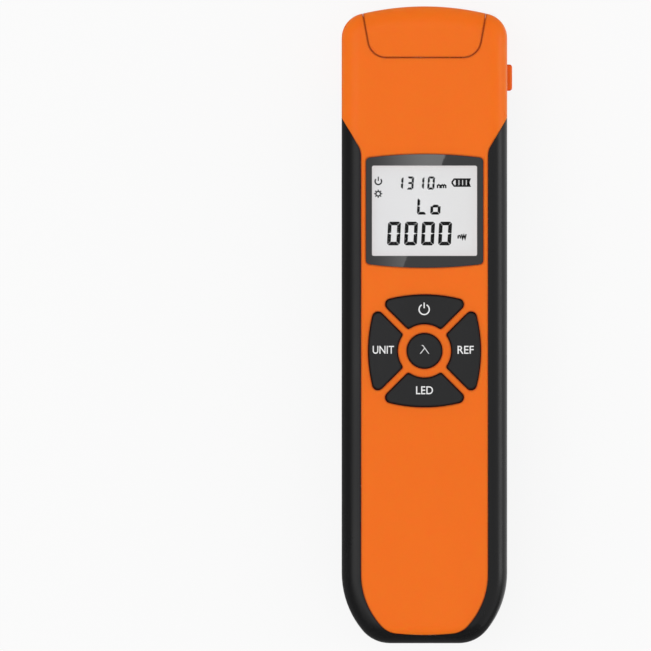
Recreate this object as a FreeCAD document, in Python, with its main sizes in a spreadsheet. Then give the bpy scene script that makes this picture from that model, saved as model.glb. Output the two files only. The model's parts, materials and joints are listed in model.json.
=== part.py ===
"""Handheld optical power meter, lying on its back.

FreeCAD 1.1 macro, millimetres. The origin is the middle of the flat back: +X is to the right of
the front face, +Y runs to the optical port at the top end, +Z comes out of the front face.
"""

import FreeCAD, Part
import math
import os
import re
import Sketcher
from FreeCAD import Placement, Rotation, Vector

SIZES = {
    # outer form of the case
    "body_length": 177.0,
    "body_width": 46.0,
    "body_depth": 27.0,
    "wall": 2.0,
    "edge_round": 5.0,
    "crown_curve": 74.6,
    "shoulder_round": 6.8,
    "toe_height": 19.6,
    "toe_curve": 25.25,
    "toe_round": 10.0,
    # line where the orange front shell meets the black rear shell
    "strip_width": 5.38,
    "panel_toe_gap": 2.35,
    "panel_toe_height": 16.9,
    "panel_toe_curve": 21.3,
    "panel_end_curve": 78.0,
    "panel_toe_round": 6.5,
    "panel_depth": 6.0,
    "collar_front": 31.0,
    "collar_back": 22.2,
    "seam_lean": 30.6,
    "seam_round": 5.3,
    "seam_gap": 0.12,
    "skirt_wall": 1.0,
    "skirt_depth": 2.5,
    "skirt_end": 43.0,
    # flip cover and its hinge
    "flap_height": 14.2,
    "flap_inset": 2.14,
    "flap_lean": 10.2,
    "flap_round": 5.0,
    "ear_width": 6.0,
    "cover_gap": 0.15,
    "cover_side_wall": 1.6,
    "mouth_extra": 0.8,
    "arm_width": 5.0,
    "arm_depth": 5.0,
    "arm_rise": 6.4,
    "hinge_drop": 18.85,
    "knuckle_round": 4.2,
    "pin_diameter": 1.5,
    "pin_bite": 2.5,
    "pin_clearance": 0.05,
    "bay_wall": 1.5,
    "deck_wall": 2.55,
    "pocket_wall": 1.2,
    # lanyard eye on the side of the head
    "eye_drop": 19.65,
    "eye_length": 7.3,
    "eye_width": 4.0,
    "eye_proud": 1.5,
    "eye_bar": 1.7,
    "eye_gap": 1.6,
    "eye_end": 1.3,
    "eye_height": 7.0,
    "eye_scoop": 11.0,
    "eye_wall": 1.6,
    "eye_round": 0.8,
    # optical port
    "flange_radius": 7.0,
    "flange_thick": 1.6,
    "barrel_radius": 4.0,
    "barrel_bore": 3.0,
    "barrel_length": 9.5,
    "barrel_floor": 1.4,
    "spigot_length": 5.15,
    "keyway_width": 2.15,
    "keyway_depth": 3.0,
    "sleeve_radius": 1.7,
    "ferrule_radius": 1.26,
    "sleeve_proud": 8.4,
    "detector_radius": 2.65,
    "detector_length": 3.4,
    "detector_rim": 3.6,
    "lead_length": 9.0,
    "lead_radius": 0.225,
    "lead_circle": 1.25,
    "rim_thick": 1.0,
    "port_screw_circle": 5.6,
    "port_screw_radius": 0.8,
    "port_screw_head": 1.3,
    "slip": 0.05,
    # torch lamp
    "lamp_gap": 0.4,
    "lamp_radius": 1.5,
    "lamp_proud": 3.0,
    "lamp_rim": 0.4,
    "lamp_lead_spread": 0.9,
    # pad in the cover
    "pad_radius": 4.6,
    "pad_gap": 0.35,
    # display
    "display_drop": 56.89,
    "lens_margin": 1.27,
    "lens_height": 31.68,
    "lens_curve": 125.0,
    "lens_round": 1.2,
    "lens_thick": 1.0,
    "lens_recess": 1.2,
    "lens_fit": 0.1,
    "bezel_side": 1.75,
    "bezel_end": 3.3,
    "glass_side": 1.1,
    "glass_end": 2.15,
    "glass_thick": 1.9,
    "light_thick": 2.9,
    "frame_wall": 0.7,
    "frame_ledge": 1.5,
    "frame_fit": 0.15,
    # keypad
    "keypad_drop": 95.75,
    "centre_key_radius": 4.75,
    "key_gap": 0.25,
    "key_proud": 0.6,
    "key_travel": 0.6,
    "key_edge": 0.35,
    "fan_inner": 7.4,
    "fan_margin": 1.92,
    "fan_curve": 40.0,
    "fan_rib": 1.86,
    "fan_tip_round": 1.6,
    "fan_inner_round": 0.7,
    "flange_lip": 0.6,
    "lip_thick": 0.7,
    "lip_gap": 0.25,
    "mat_gap": 0.05,
    "mat_thick": 0.8,
    "mat_wall": 1.0,
    "mat_margin": 0.7,
    "switch_shift": 0.65,
    "switch_body": 6.0,
    "switch_height": 3.5,
    "switch_stem": 1.7,
    "switch_gap": 0.1,
    # circuit board
    "board_drop": 9.5,
    "board_thick": 1.6,
    "board_side_gap": 1.6,
    "neck_gap": 0.8,
    "board_head_end": 22.6,
    "board_toe_end": 4.2,
    "boss_radius": 2.2,
    "boss_inset": 2.1,
    "boss_gap": 1.45,
    "boss_toe_rise": 37.5,
    "boss_edge": 4.0,
    "board_screw_radius": 1.0,
    "board_screw_head": 1.8,
    "board_screw_length": 6.0,
    "pilot_spare": 0.5,
    "pilot_clearance": 0.04,
    "chip_size": 12.0,
    "chip_thick": 1.4,
    "plug_width": 8.0,
    "plug_length": 5.0,
    "plug_depth": 4.5,
    # battery
    "cell_side_gap": 4.0,
    "cell_length": 52.0,
    "cell_depth": 6.5,
    "cell_centre": -18.0,
    "cell_fit": 0.3,
    "cell_pad": 0.8,
    "fence_wall": 1.2,
    "fence_height": 4.0,
    # charging socket
    "socket_width": 7.8,
    "socket_depth": 2.8,
    "socket_length": 5.6,
    "socket_recess": 1.1,
    "socket_wall": 0.3,
    "tongue_thick": 0.6,
    "socket_margin": 0.4,
    # case screws
    "screw_inset": 28.15,
    "post_inset": 0.25,
    "screw_radius": 1.0,
    "screw_head": 1.8,
    "screw_head_thick": 1.5,
    "screw_recess": 2.4,
    "screw_well": 2.6,
    "screw_length": 9.5,
    "screw_play": 0.15,
    "post_radius": 2.6,
    "post_foot": 6.0,
    # plaque on the back
    "plate_drop": 45.1,
    "plate_side": 7.15,
    "plate_height": 20.7,
    "plate_thick": 0.25,
    "plate_recess": 0.35,
    "plate_round": 1.0,
    "plate_corner": 2.7,
}

DOC = FreeCAD.newDocument("optical_power_meter")


def make_sheet():
    """Puts every size in the document's spreadsheet."""
    sheet = DOC.addObject("Spreadsheet::Sheet", "Sizes")
    for row, (name, size) in enumerate(SIZES.items(), start=1):
        sheet.set(f"A{row}", name)
        sheet.set(f"B{row}", str(size))
        sheet.setAlias(f"B{row}", name)
    DOC.recompute()
    return sheet


SHEET = make_sheet()

# lengths, heights and places that several pieces share, over the names of the sheet
SHARED = {
    "panel_half": "body_width / 2 - strip_width",
    "front_inner": "body_depth - wall",
    "seam_slope": "(collar_front - collar_back) / (body_depth - panel_depth)",
    "cover_half": "body_width / 2 - ear_width",
    "flap_half": "cover_half - flap_inset",
    "deck": "body_length / 2 - flap_height - cover_gap",
    "pivot_y": "body_length / 2 - hinge_drop",
    "pivot_z": "arm_depth / 2",
    "arm_top": "arm_depth + cover_gap",
    "pin_half": "cover_half + pin_bite",
    "eye_y": "body_length / 2 - eye_drop",
    "display_y": "body_length / 2 - display_drop",
    "lens_half": "panel_half - lens_margin",
    "window_half": "lens_half - bezel_side",
    "window_rise": "lens_height / 2 - bezel_end",
    "glass_half": "window_half + glass_side",
    "glass_rise": "window_rise + glass_end",
    "glass_top": "front_inner - frame_fit",
    "light_top": "glass_top - glass_thick",
    "light_foot": "light_top - light_thick",
    "keypad_y": "body_length / 2 - keypad_drop",
    "fan_outer": "panel_half - fan_margin",
    "mat_half": "fan_outer + mat_margin",
    "switch_offset": "(fan_inner + fan_outer) / 2 - switch_shift",
    "key_foot": "front_inner - lip_gap - lip_thick",
    "mat_top": "key_foot - key_travel - mat_gap",
    "board_top": "body_depth - board_drop",
    "board_foot": "board_top - board_thick",
    "port_z": "board_foot - lead_circle / 2 - lead_radius - slip",
    "lamp_x": "flange_radius + lamp_gap + lamp_radius",
    "screw_x": "panel_half - post_radius - post_inset",
    "screw_y": "body_length / 2 - screw_inset",
    "boss_x": "screw_x - boss_inset",
    "boss_high": "display_y + glass_rise + frame_fit + frame_wall + boss_radius + boss_gap",
    "boss_low": "boss_toe_rise - body_length / 2",
    "cell_half": "body_width / 2 - wall - cell_side_gap",
    "plate_half": "body_width / 2 - plate_side",
    "board_half": "body_width / 2 - wall - board_side_gap",
    "neck_half": "screw_x - post_radius - neck_gap",
}
NEAR = 0.02
FOUR_WAYS = [(1, 1), (-1, 1), (-1, -1), (1, -1)]


def full(expression):
    """Writes an expression over size and shared names as one over the sheet's aliases."""
    def spell(word):
        name = word.group()
        if name in SHARED:
            return f"({full(SHARED[name])})"
        return "Sizes." * (name in SIZES) + name
    return re.sub(r"[a-z_]+", spell, str(expression))


def number(expression):
    """Gives the present value of an expression over size names."""
    return float(SHEET.evalExpression(full(expression)))


class Bend:
    """An outline edge bent to an arc, outward unless told otherwise.

    An arc whose centre is given fixes the corners at its ends by itself.
    """

    def __init__(self, radius, inward=False, centre=None):
        self.radius = radius
        self.inward = inward
        self.centre = centre


class Solid:
    """A PartDesign body that is made feature by feature."""

    def __init__(self, label):
        self.body = DOC.addObject("PartDesign::Body", label)
        self.body.AllowCompound = True

    def sketch(self, plane="XY_Plane", level="0"):
        """Starts a sketch on an origin plane, moved along that plane's normal to level."""
        sketch = self.body.newObject("Sketcher::SketchObject", self.body.Name + "_sketch")
        planes = [item for item in self.body.Origin.OriginFeatures if item.Role == plane]
        sketch.AttachmentSupport = [(planes[0], "")]
        sketch.MapMode = "FlatFace"
        sketch.setExpression("AttachmentOffset.Base.z", full(level))
        return sketch

    def pad(self, sketch, length, both_ways=False):
        """Raises a sketch along its normal, or half to each side."""
        pad = self.body.newObject("PartDesign::Pad", self.body.Name + "_pad")
        pad.Profile = sketch
        pad.setExpression("Length", full(length))
        pad.Midplane = both_ways
        DOC.recompute()
        return pad

    def pocket(self, sketch, length, upward=True):
        """Cuts a sketch out of the body and checks that it removed something."""
        before = self.body.Shape.Volume
        pocket = self.body.newObject("PartDesign::Pocket", self.body.Name + "_pocket")
        pocket.Profile = sketch
        pocket.setExpression("Length", full(length))
        pocket.Reversed = upward
        DOC.recompute()
        if self.body.Shape.Volume >= before:
            raise ValueError(pocket.Label + " cuts nothing")
        return pocket

    def round_edges(self, radius, chosen, kind="Fillet"):
        """Rounds or bevels each edge that the chosen test picks."""
        base = self.body.Tip
        edges = base.Shape.Edges
        names = [f"Edge{place}" for place, edge in enumerate(edges, start=1) if chosen(edge)]
        if not names:
            raise ValueError(self.body.Label + " has no such edge")
        feature = self.body.newObject("PartDesign::" + kind, self.body.Name + "_" + kind.lower())
        feature.Base = (base, names)
        feature.setExpression("Size" if kind == "Chamfer" else "Radius", full(radius))
        DOC.recompute()
        if feature.Shape.isNull() or not feature.Shape.isValid():
            raise ValueError(feature.Label + " fails")
        return feature


def draw_outline(sketch, corners, bends=None):
    """Draws one closed outline, anticlockwise, and ties each corner to the sheet.

    A corner is a pair of expressions, or a Vector where the bends beside it fix its place.
    """
    bends = bends or {}
    count = len(corners)
    free = [isinstance(corner, Vector) for corner in corners]
    spots = [corner if loose else Vector(number(corner[0]), number(corner[1]), 0)
             for corner, loose in zip(corners, free)]
    first = sketch.GeometryCount
    ends = []
    for place, start in enumerate(spots):
        stop = spots[(place + 1) % count]
        bend = bends.get(place)
        if bend is None:
            sketch.addGeometry(Part.LineSegment(start, stop), False)
            ends.append((1, 2))
            continue
        radius = number(bend.radius)
        middle = (start + stop) / 2
        chord = stop - start
        reach = math.sqrt(max(radius ** 2 - (chord.Length / 2) ** 2, 0))
        side = Vector(-chord.y, chord.x, 0).normalize() * (-reach if bend.inward else reach)
        centre = middle + side
        begin, end = (stop, start) if bend.inward else (start, stop)
        angles = [math.atan2(spot.y - centre.y, spot.x - centre.x) for spot in (begin, end)]
        sketch.addGeometry(Part.ArcOfCircle(Part.Circle(centre, Vector(0, 0, 1), radius), *angles),
                           False)
        ends.append((2, 1) if bend.inward else (1, 2))
    for place in range(count):
        after = (place + 1) % count
        sketch.addConstraint(Sketcher.Constraint("Coincident", first + place, ends[place][1],
                                                 first + after, ends[after][0]))
    for place, corner in enumerate(corners):
        if not free[place]:
            tie_point(sketch, first + place, ends[place][0], corner, spots[place])
    for place, bend in bends.items():
        # a given centre and a tied end already fix an arc's radius
        loose_ends = free[place] and free[(place + 1) % count]
        if loose_ends or not bend.centre:
            radius = sketch.addConstraint(Sketcher.Constraint("Radius", first + place,
                                                              number(bend.radius)))
            sketch.setExpression(f"Constraints[{radius}]", full(bend.radius))
        if bend.centre:
            spot = Vector(number(bend.centre[0]), number(bend.centre[1]), 0)
            tie_point(sketch, first + place, 3, bend.centre, spot)


def tie_point(sketch, geometry, end, place, spot):
    """Ties one point of a sketch to a pair of expressions."""
    for kind, expression, value, axis in (("DistanceX", place[0], spot.x, -2),
                                          ("DistanceY", place[1], spot.y, -1)):
        if expression == "0":
            sketch.addConstraint(Sketcher.Constraint("PointOnObject", geometry, end, axis))
            continue
        tied = sketch.addConstraint(Sketcher.Constraint(kind, -1, 1, geometry, end, value))
        sketch.setExpression(f"Constraints[{tied}]", full(expression))


def draw_circle(sketch, centre, radius):
    """Draws one circle tied to the sheet."""
    spot = Vector(number(centre[0]), number(centre[1]), 0)
    sketch.addGeometry(Part.Circle(spot, Vector(0, 0, 1), number(radius)), False)
    geometry = sketch.GeometryCount - 1
    tied = sketch.addConstraint(Sketcher.Constraint("Radius", geometry, number(radius)))
    sketch.setExpression(f"Constraints[{tied}]", full(radius))
    tie_point(sketch, geometry, 3, centre, spot)


def box_corners(half_width, low, high):
    """Corners of a rectangle that is centred on the second axis."""
    left = f"-({half_width})"
    return [(left, low), (half_width, low), (half_width, high), (left, high)]


def upright(edge):
    """Tells whether an edge runs along Z."""
    box = edge.BoundBox
    return max(box.XLength, box.YLength) < 1e-3 < box.ZLength


def level_edge(height):
    """Makes a test for edges that lie in the plane at one height."""
    def chosen(edge):
        box = edge.BoundBox
        return abs(box.ZMin - height) < 1e-4 and abs(box.ZMax - height) < 1e-4
    return chosen


def block(label, x_span, y_span, z_span):
    """Makes a box between pairs of expressions."""
    box = DOC.addObject("Part::Box", label)
    for side, axis, span in zip(("Length", "Width", "Height"), "xyz", (x_span, y_span, z_span)):
        box.setExpression(side, full(f"({span[1]}) - ({span[0]})"))
        box.setExpression(f"Placement.Base.{axis}", full(span[0]))
    return box


TURNS = {
    "x": Rotation(Vector(0, 1, 0), 90),
    "y": Rotation(Vector(1, 0, 0), -90),
    "z": Rotation(),
}


def rod(label, axis, base, radius, length):
    """Makes a cylinder from its base point along an axis."""
    cylinder = DOC.addObject("Part::Cylinder", label)
    cylinder.setExpression("Radius", full(radius))
    cylinder.setExpression("Height", full(length))
    cylinder.Placement = Placement(Vector(), TURNS[axis])
    for name, place in zip("xyz", base):
        cylinder.setExpression(f"Placement.Base.{name}", full(place))
    return cylinder


def fuse(label, pieces):
    """Joins pieces to one."""
    joined = DOC.addObject("Part::MultiFuse", label)
    joined.Shapes = pieces
    return joined


def cut(label, base, tool):
    """Takes one piece out of another and checks that it removed something."""
    left = DOC.addObject("Part::Cut", label)
    left.Base = base
    left.Tool = tool
    DOC.recompute()
    if left.Shape.Volume >= base.Shape.Volume - 1e-6:
        raise ValueError(label + " cuts nothing")
    return left


def common(label, base, tool):
    """Keeps what two pieces share."""
    shared = DOC.addObject("Part::Common", label)
    shared.Base = base
    shared.Tool = tool
    return shared


def group(label, pieces):
    """Keeps alike loose pieces in one node."""
    held = DOC.addObject("Part::Compound", label)
    held.Links = pieces
    return held


# ---- outer form ------------------------------------------------------------------------------

def make_case_form(label, inset):
    """The rounded bar that the closed meter fills, or its hollow when inset by the wall."""
    half = f"(body_width / 2 - {inset})"
    end = f"(body_length / 2 - {inset})"
    shoulder = (f"(body_length / 2 - crown_curve + sqrt((crown_curve - {inset})^2 - {half}^2))")
    toe_start = "(toe_height - body_length / 2)"
    toe_x = (f"(body_width / 2 - toe_curve + sqrt((toe_curve - {inset})^2"
             f" - (toe_height - {inset})^2))")
    corners = [(f"-{toe_x}", f"-{end}"), (toe_x, f"-{end}"), (half, toe_start), (half, shoulder),
               (f"-{half}", shoulder), (f"-{half}", toe_start)]
    bends = {1: Bend(f"toe_curve - {inset}"), 3: Bend(f"crown_curve - {inset}"),
             5: Bend(f"toe_curve - {inset}")}
    form = Solid(label)
    sketch = form.sketch(level=inset)
    draw_outline(sketch, corners, bends)
    form.pad(sketch, f"body_depth - 2 * {inset}")
    shoulder_y = number(shoulder)
    toe_y = -number(end)
    half_x = number(half)
    toe_corner = number(toe_x)
    form.round_edges(f"shoulder_round - {inset}", lambda edge: upright(edge) and
                     abs(edge.BoundBox.Center.y - shoulder_y) < NEAR and
                     abs(abs(edge.BoundBox.Center.x) - half_x) < NEAR)
    form.round_edges(f"toe_round - {inset}", lambda edge: upright(edge) and
                     abs(edge.BoundBox.Center.y - toe_y) < NEAR and
                     abs(abs(edge.BoundBox.Center.x) - toe_corner) < NEAR)
    back = level_edge(number(inset))
    front = level_edge(number(f"body_depth - {inset}"))
    form.round_edges(f"edge_round - {inset}", lambda edge: back(edge) or front(edge))
    return form.body


def arcs_meet(centre_one, radius_one, centre_two, radius_two):
    """Finds where two circles cross, on the right and low side."""
    apart = centre_two - centre_one
    along = (radius_one ** 2 - radius_two ** 2 + apart.Length ** 2) / (2 * apart.Length)
    across = math.sqrt(radius_one ** 2 - along ** 2)
    unit = apart / apart.Length
    middle = centre_one + unit * along
    sides = [middle + Vector(-unit.y, unit.x, 0) * across,
             middle - Vector(-unit.y, unit.x, 0) * across]
    return min(sides, key=lambda spot: spot.y)


def panel_pad(solid, grow, low, high):
    """Raises the front panel's outline, which widens to the whole head above the seam."""
    half = f"(panel_half + {grow})"
    toe_start = "(panel_toe_gap + panel_toe_height - body_length / 2)"
    toe_centre = ("panel_half - panel_toe_curve", toe_start)
    end_centre = ("0", "(panel_toe_gap + panel_end_curve - body_length / 2)")
    toe_radius = f"panel_toe_curve + {grow}"
    end_radius = f"panel_end_curve + {grow}"
    spots = [Vector(number(centre[0]), number(centre[1]), 0) for centre in (toe_centre, end_centre)]
    low_right = arcs_meet(spots[0], number(toe_radius), spots[1], number(end_radius))
    low_left = Vector(-low_right.x, low_right.y, 0)
    seam_corner = (f"(body_length / 2 - collar_front - (body_width / 2 - {half}) / tan(seam_lean)"
                   f" - {grow} / sin(seam_lean))")
    run = f"((seam_round - {grow}) * tan(seam_lean / 2))"
    bend_low = (half, f"{seam_corner} - {run}")
    bend_high = (f"{half} + {run} * sin(seam_lean)", f"{seam_corner} + {run} * cos(seam_lean)")
    far_x = "body_width"
    far = (far_x, f"{seam_corner} + ({far_x} - {half}) / tan(seam_lean)")
    top = (far_x, "body_length")
    right = [(half, toe_start), bend_low, bend_high, far, top]
    left = [(f"-({x})", y) for x, y in reversed(right)]
    mirror_centre = (f"-({toe_centre[0]})", toe_centre[1])
    bends = {0: Bend(end_radius, centre=end_centre),
             1: Bend(toe_radius, centre=toe_centre),
             3: Bend(f"seam_round - {grow}", inward=True),
             9: Bend(f"seam_round - {grow}", inward=True),
             11: Bend(toe_radius, centre=mirror_centre)}
    sketch = solid.sketch(level=low)
    draw_outline(sketch, [low_left, low_right] + right + left, bends)
    solid.pad(sketch, f"({high}) - ({low})")
    return low_right


def make_panel(label, grow, low, high):
    """The front panel's outline as a block with rounded toe corners."""
    panel = Solid(label)
    corner = panel_pad(panel, grow, low, high)
    panel.round_edges(f"panel_toe_round + {grow}", lambda edge: upright(edge) and
                      abs(edge.BoundBox.Center.y - corner.y) < NEAR and
                      abs(abs(edge.BoundBox.Center.x) - corner.x) < NEAR)
    return panel.body


def make_front_zone(label, grow):
    """Everything that belongs to the front shell: its panel and all above the slanted collar."""
    panel = make_panel(label + "_panel", grow, f"body_depth - panel_depth - {grow}",
                       "body_depth + 1")
    collar = Solid(label + "_collar")
    sketch = collar.sketch("YZ_Plane")
    low = f"(body_length / 2 - collar_back - {grow} * sqrt(1 + seam_slope^2))"
    step = f"(body_depth - panel_depth - {grow})"
    draw_outline(sketch, [(f"{low} - seam_slope * {step}", step), (f"{low} + seam_slope", "-1"),
                          ("body_length", "-1"), ("body_length", step)])
    collar.pad(sketch, "2 * body_width", both_ways=True)
    return fuse(label, [panel, collar.body])


# ---- flip cover ------------------------------------------------------------------------------

def flap_pad(solid, grow, low, high):
    """Raises the tapered outline of the cover's front flap."""
    foot = f"(body_length / 2 - flap_height - {grow})"
    wide = f"(flap_half + {grow} / cos(flap_lean) - {grow} * tan(flap_lean))"
    rise = f"(flap_height + {grow} + 2)"
    top_x = f"({wide} + {rise} * tan(flap_lean))"
    sketch = solid.sketch(level=low)
    draw_outline(sketch, [(f"-{wide}", foot), (wide, foot), (top_x, f"{foot} + {rise}"),
                          (f"-{top_x}", f"{foot} + {rise}")])
    solid.pad(sketch, f"({high}) - ({low})")
    foot_y = number(foot)
    solid.round_edges(f"flap_round + {grow}",
                      lambda edge: upright(edge) and abs(edge.BoundBox.Center.y - foot_y) < NEAR)


def hinge_side_pad(solid, round_radius, half_width, high):
    """Raises the cover's back part, whose lower edge is hollowed round the pivot."""
    low = "-1"
    reach_low = f"(pivot_y + sqrt(({round_radius})^2 - (pivot_z - ({low}))^2))"
    reach_high = f"(pivot_y + sqrt(({round_radius})^2 - (({high}) - pivot_z)^2))"
    sketch = solid.sketch("YZ_Plane")
    draw_outline(sketch, [(reach_low, low), ("body_length / 2 + 2", low),
                          ("body_length / 2 + 2", high), (reach_high, high)],
                 {3: Bend(round_radius, inward=True)})
    solid.pad(sketch, f"2 * ({half_width})", both_ways=True)


def make_cover_zone(label, grow, front_low, back_high, round_radius):
    """The room of the flip cover: a tapered flap in front, a straight panel behind."""
    front = Solid(label + "_front")
    flap_pad(front, grow, front_low, "body_depth + 1")
    back = Solid(label + "_back")
    hinge_side_pad(back, round_radius, f"cover_half + {grow}", back_high)
    return fuse(label, [front.body, back.body])


def make_arm(side):
    """One hinge arm, round about the pin at its end."""
    outer = "cover_half"
    inner = "(cover_half - arm_width)"
    span = (inner, outer) if side > 0 else (f"-({outer})", f"-{inner}")
    name = "right" if side > 0 else "left"
    bar = block(f"arm_{name}_bar", span, ("pivot_y", "pivot_y + arm_rise"), ("0", "arm_depth"))
    eye = rod(f"arm_{name}_eye", "x", (span[0], "pivot_y", "pivot_z"), "arm_depth / 2", "arm_width")
    return [bar, eye]


def make_dust_cover(case_form, hollow_form):
    """The flip cover: one hollow moulding open toward the port."""
    zone = make_cover_zone("cover_zone", "0", "arm_depth", "arm_depth",
                           "knuckle_round + cover_gap")
    blank = common("cover_blank", case_form, zone)
    solid = fuse("cover_solid", [blank] + make_arm(1) + make_arm(-1))
    room = Solid("cover_room_flap")
    flap_pad(room, "-cover_side_wall", "wall", "body_depth - wall")
    mouth = block("cover_room_mouth",
                  ("-(flap_half - flap_round + mouth_extra)", "flap_half - flap_round + mouth_extra"),
                  ("pivot_y", "body_length / 2 - flap_height + flap_round"),
                  ("wall", "body_depth - wall"))
    room_all = fuse("cover_room_all", [room.body, mouth])
    hollow = common("cover_hollow", hollow_form, room_all)
    bore = rod("cover_pin_bore", "x", ("-cover_half - 1", "pivot_y", "pivot_z"),
               "pin_diameter / 2 + pin_clearance", "2 * cover_half + 2")
    return cut("dust_cover", solid, fuse("cover_cuts", [hollow, bore]))


# ---- keys ------------------------------------------------------------------------------------

def fan_pad(solid, shrink, low, high):
    """Raises one fan-shaped key outline above the keypad's centre."""
    inner = f"(fan_inner + {shrink})"
    outer = f"(fan_outer - {shrink})"
    curve = f"(fan_curve - {shrink})"
    shift = f"(fan_rib / 2 * sqrt(2) + {shrink} * sqrt(2))"
    # a side line y = x + shift meets an arc about the centre, and one about a lower centre
    near = f"((sqrt(2 * {inner}^2 - {shift}^2) - {shift}) / 2)"
    lift = f"({outer} - {curve})"
    far = (f"((-({shift} - {lift}) + sqrt(2 * {curve}^2 - ({shift} - {lift})^2)) / 2)")
    corners = [(f"-{near}", f"keypad_y + {near} + {shift}"),
               (near, f"keypad_y + {near} + {shift}"),
               (far, f"keypad_y + {far} + {shift}"), (f"-{far}", f"keypad_y + {far} + {shift}")]
    sketch = solid.sketch(level=low)
    draw_outline(sketch, corners, {0: Bend(inner, inward=True), 2: Bend(curve)})
    solid.pad(sketch, f"({high}) - ({low})")
    near_y = number(corners[1][1])
    far_y = number(corners[2][1])
    solid.round_edges(f"fan_inner_round + {shrink} / 4",
                      lambda edge: upright(edge) and abs(edge.BoundBox.Center.y - near_y) < NEAR)
    solid.round_edges(f"fan_tip_round - {shrink} / 2",
                      lambda edge: upright(edge) and abs(edge.BoundBox.Center.y - far_y) < NEAR)


def turned(label, piece, quarter):
    """Sets a copy of a fan piece a number of quarter turns round the keypad."""
    copy = DOC.addObject("Part::Feature", label)
    shape = piece.Shape.copy()
    shape.rotate(Vector(0, number("keypad_y"), 0), Vector(0, 0, 1), 90 * quarter)
    copy.Shape = shape
    return copy


def make_fan_key(label, quarter):
    """One fan-shaped key: a cap with a lip that holds it behind the panel."""
    cap = Solid(label + "_cap")
    fan_pad(cap, "key_gap", "key_foot", "body_depth + key_proud")
    cap.round_edges("key_edge", level_edge(number("body_depth + key_proud")))
    lip = Solid(label + "_lip")
    fan_pad(lip, "(key_gap - flange_lip)", "key_foot", "key_foot + lip_thick")
    key = fuse(label + "_upright", [cap.body, lip.body])
    DOC.recompute()
    return turned(label, key, quarter)


def make_centre_key():
    """The round key in the middle."""
    key = Solid("wavelength_key")
    lip = key.sketch(level="key_foot")
    draw_circle(lip, ("0", "keypad_y"), "centre_key_radius + flange_lip")
    key.pad(lip, "lip_thick")
    cap = key.sketch(level="key_foot")
    draw_circle(cap, ("0", "keypad_y"), "centre_key_radius")
    key.pad(cap, "body_depth + key_proud - key_foot")
    key.round_edges("key_edge", level_edge(number("body_depth + key_proud")))
    return key.body


def make_key_openings():
    """The holes for the five keys through the front panel."""
    low = "front_inner - 1"
    fan = Solid("fan_opening")
    fan_pad(fan, "0", low, "body_depth + 1")
    DOC.recompute()
    holes = [turned(f"fan_opening_{quarter}", fan.body, quarter) for quarter in range(4)]
    holes.append(rod("centre_opening", "z", ("0", "keypad_y", low), "centre_key_radius + key_gap",
                     "wall + 2"))
    return holes


def make_keypad_mat():
    """The silicone mat under the keys, with a rim that stands on the board."""
    mat = Solid("keypad_mat")
    plate = mat.sketch(level="mat_top - mat_thick")
    low = "keypad_y - mat_half"
    high = "keypad_y + mat_half"
    draw_outline(plate, box_corners("mat_half", low, high))
    mat.pad(plate, "mat_thick")
    rim = mat.sketch(level="board_top")
    draw_outline(rim, box_corners("mat_half", low, high))
    draw_outline(rim, box_corners("mat_half - mat_wall", f"{low} + mat_wall",
                                  f"{high} - mat_wall"))
    mat.pad(rim, "mat_top - mat_thick - board_top")
    return mat.body


def switch_places():
    """Places of the five switches: one in the middle and one under each fan key."""
    places = [("0", "keypad_y")]
    places.append(("0", "keypad_y + switch_offset"))
    places.append(("0", "keypad_y - switch_offset"))
    places.append(("switch_offset", "keypad_y"))
    places.append(("-switch_offset", "keypad_y"))
    return places


def make_key_switches():
    """Five push switches soldered to the board."""
    switches = []
    for place, (x, y) in enumerate(switch_places()):
        body = block(f"switch_{place}_body", (f"{x} - switch_body / 2", f"{x} + switch_body / 2"),
                     (f"{y} - switch_body / 2", f"{y} + switch_body / 2"),
                     ("board_top", "board_top + switch_height"))
        stem = rod(f"switch_{place}_stem", "z", (x, y, "board_top + switch_height"),
                   "switch_stem", "mat_top - mat_thick - switch_gap - board_top - switch_height")
        switches.append(fuse(f"switch_{place}", [body, stem]))
    return group("key_switches", switches)


# ---- display ---------------------------------------------------------------------------------

def lens_pad(solid, shrink, low, high):
    """Raises the display window's outline, bowed at its top and bottom."""
    half = f"(lens_half - {shrink})"
    curve = f"(lens_curve - {shrink})"
    corner = f"(lens_height / 2 - {shrink} - {curve} + sqrt({curve}^2 - {half}^2))"
    sketch = solid.sketch(level=low)
    draw_outline(sketch, box_corners(half, f"display_y - {corner}", f"display_y + {corner}"),
                 {0: Bend(curve), 2: Bend(curve)})
    solid.pad(sketch, f"({high}) - ({low})")
    solid.round_edges(f"lens_round - {shrink} / 2", upright)


def window_block(label, margin, low, high):
    """A block over the display's clear window."""
    half = f"window_half + {margin}"
    tall = f"window_rise + {margin}"
    return block(label, (f"-({half})", half),
                 (f"display_y - ({tall})", f"display_y + {tall}"), (low, high))


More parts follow.
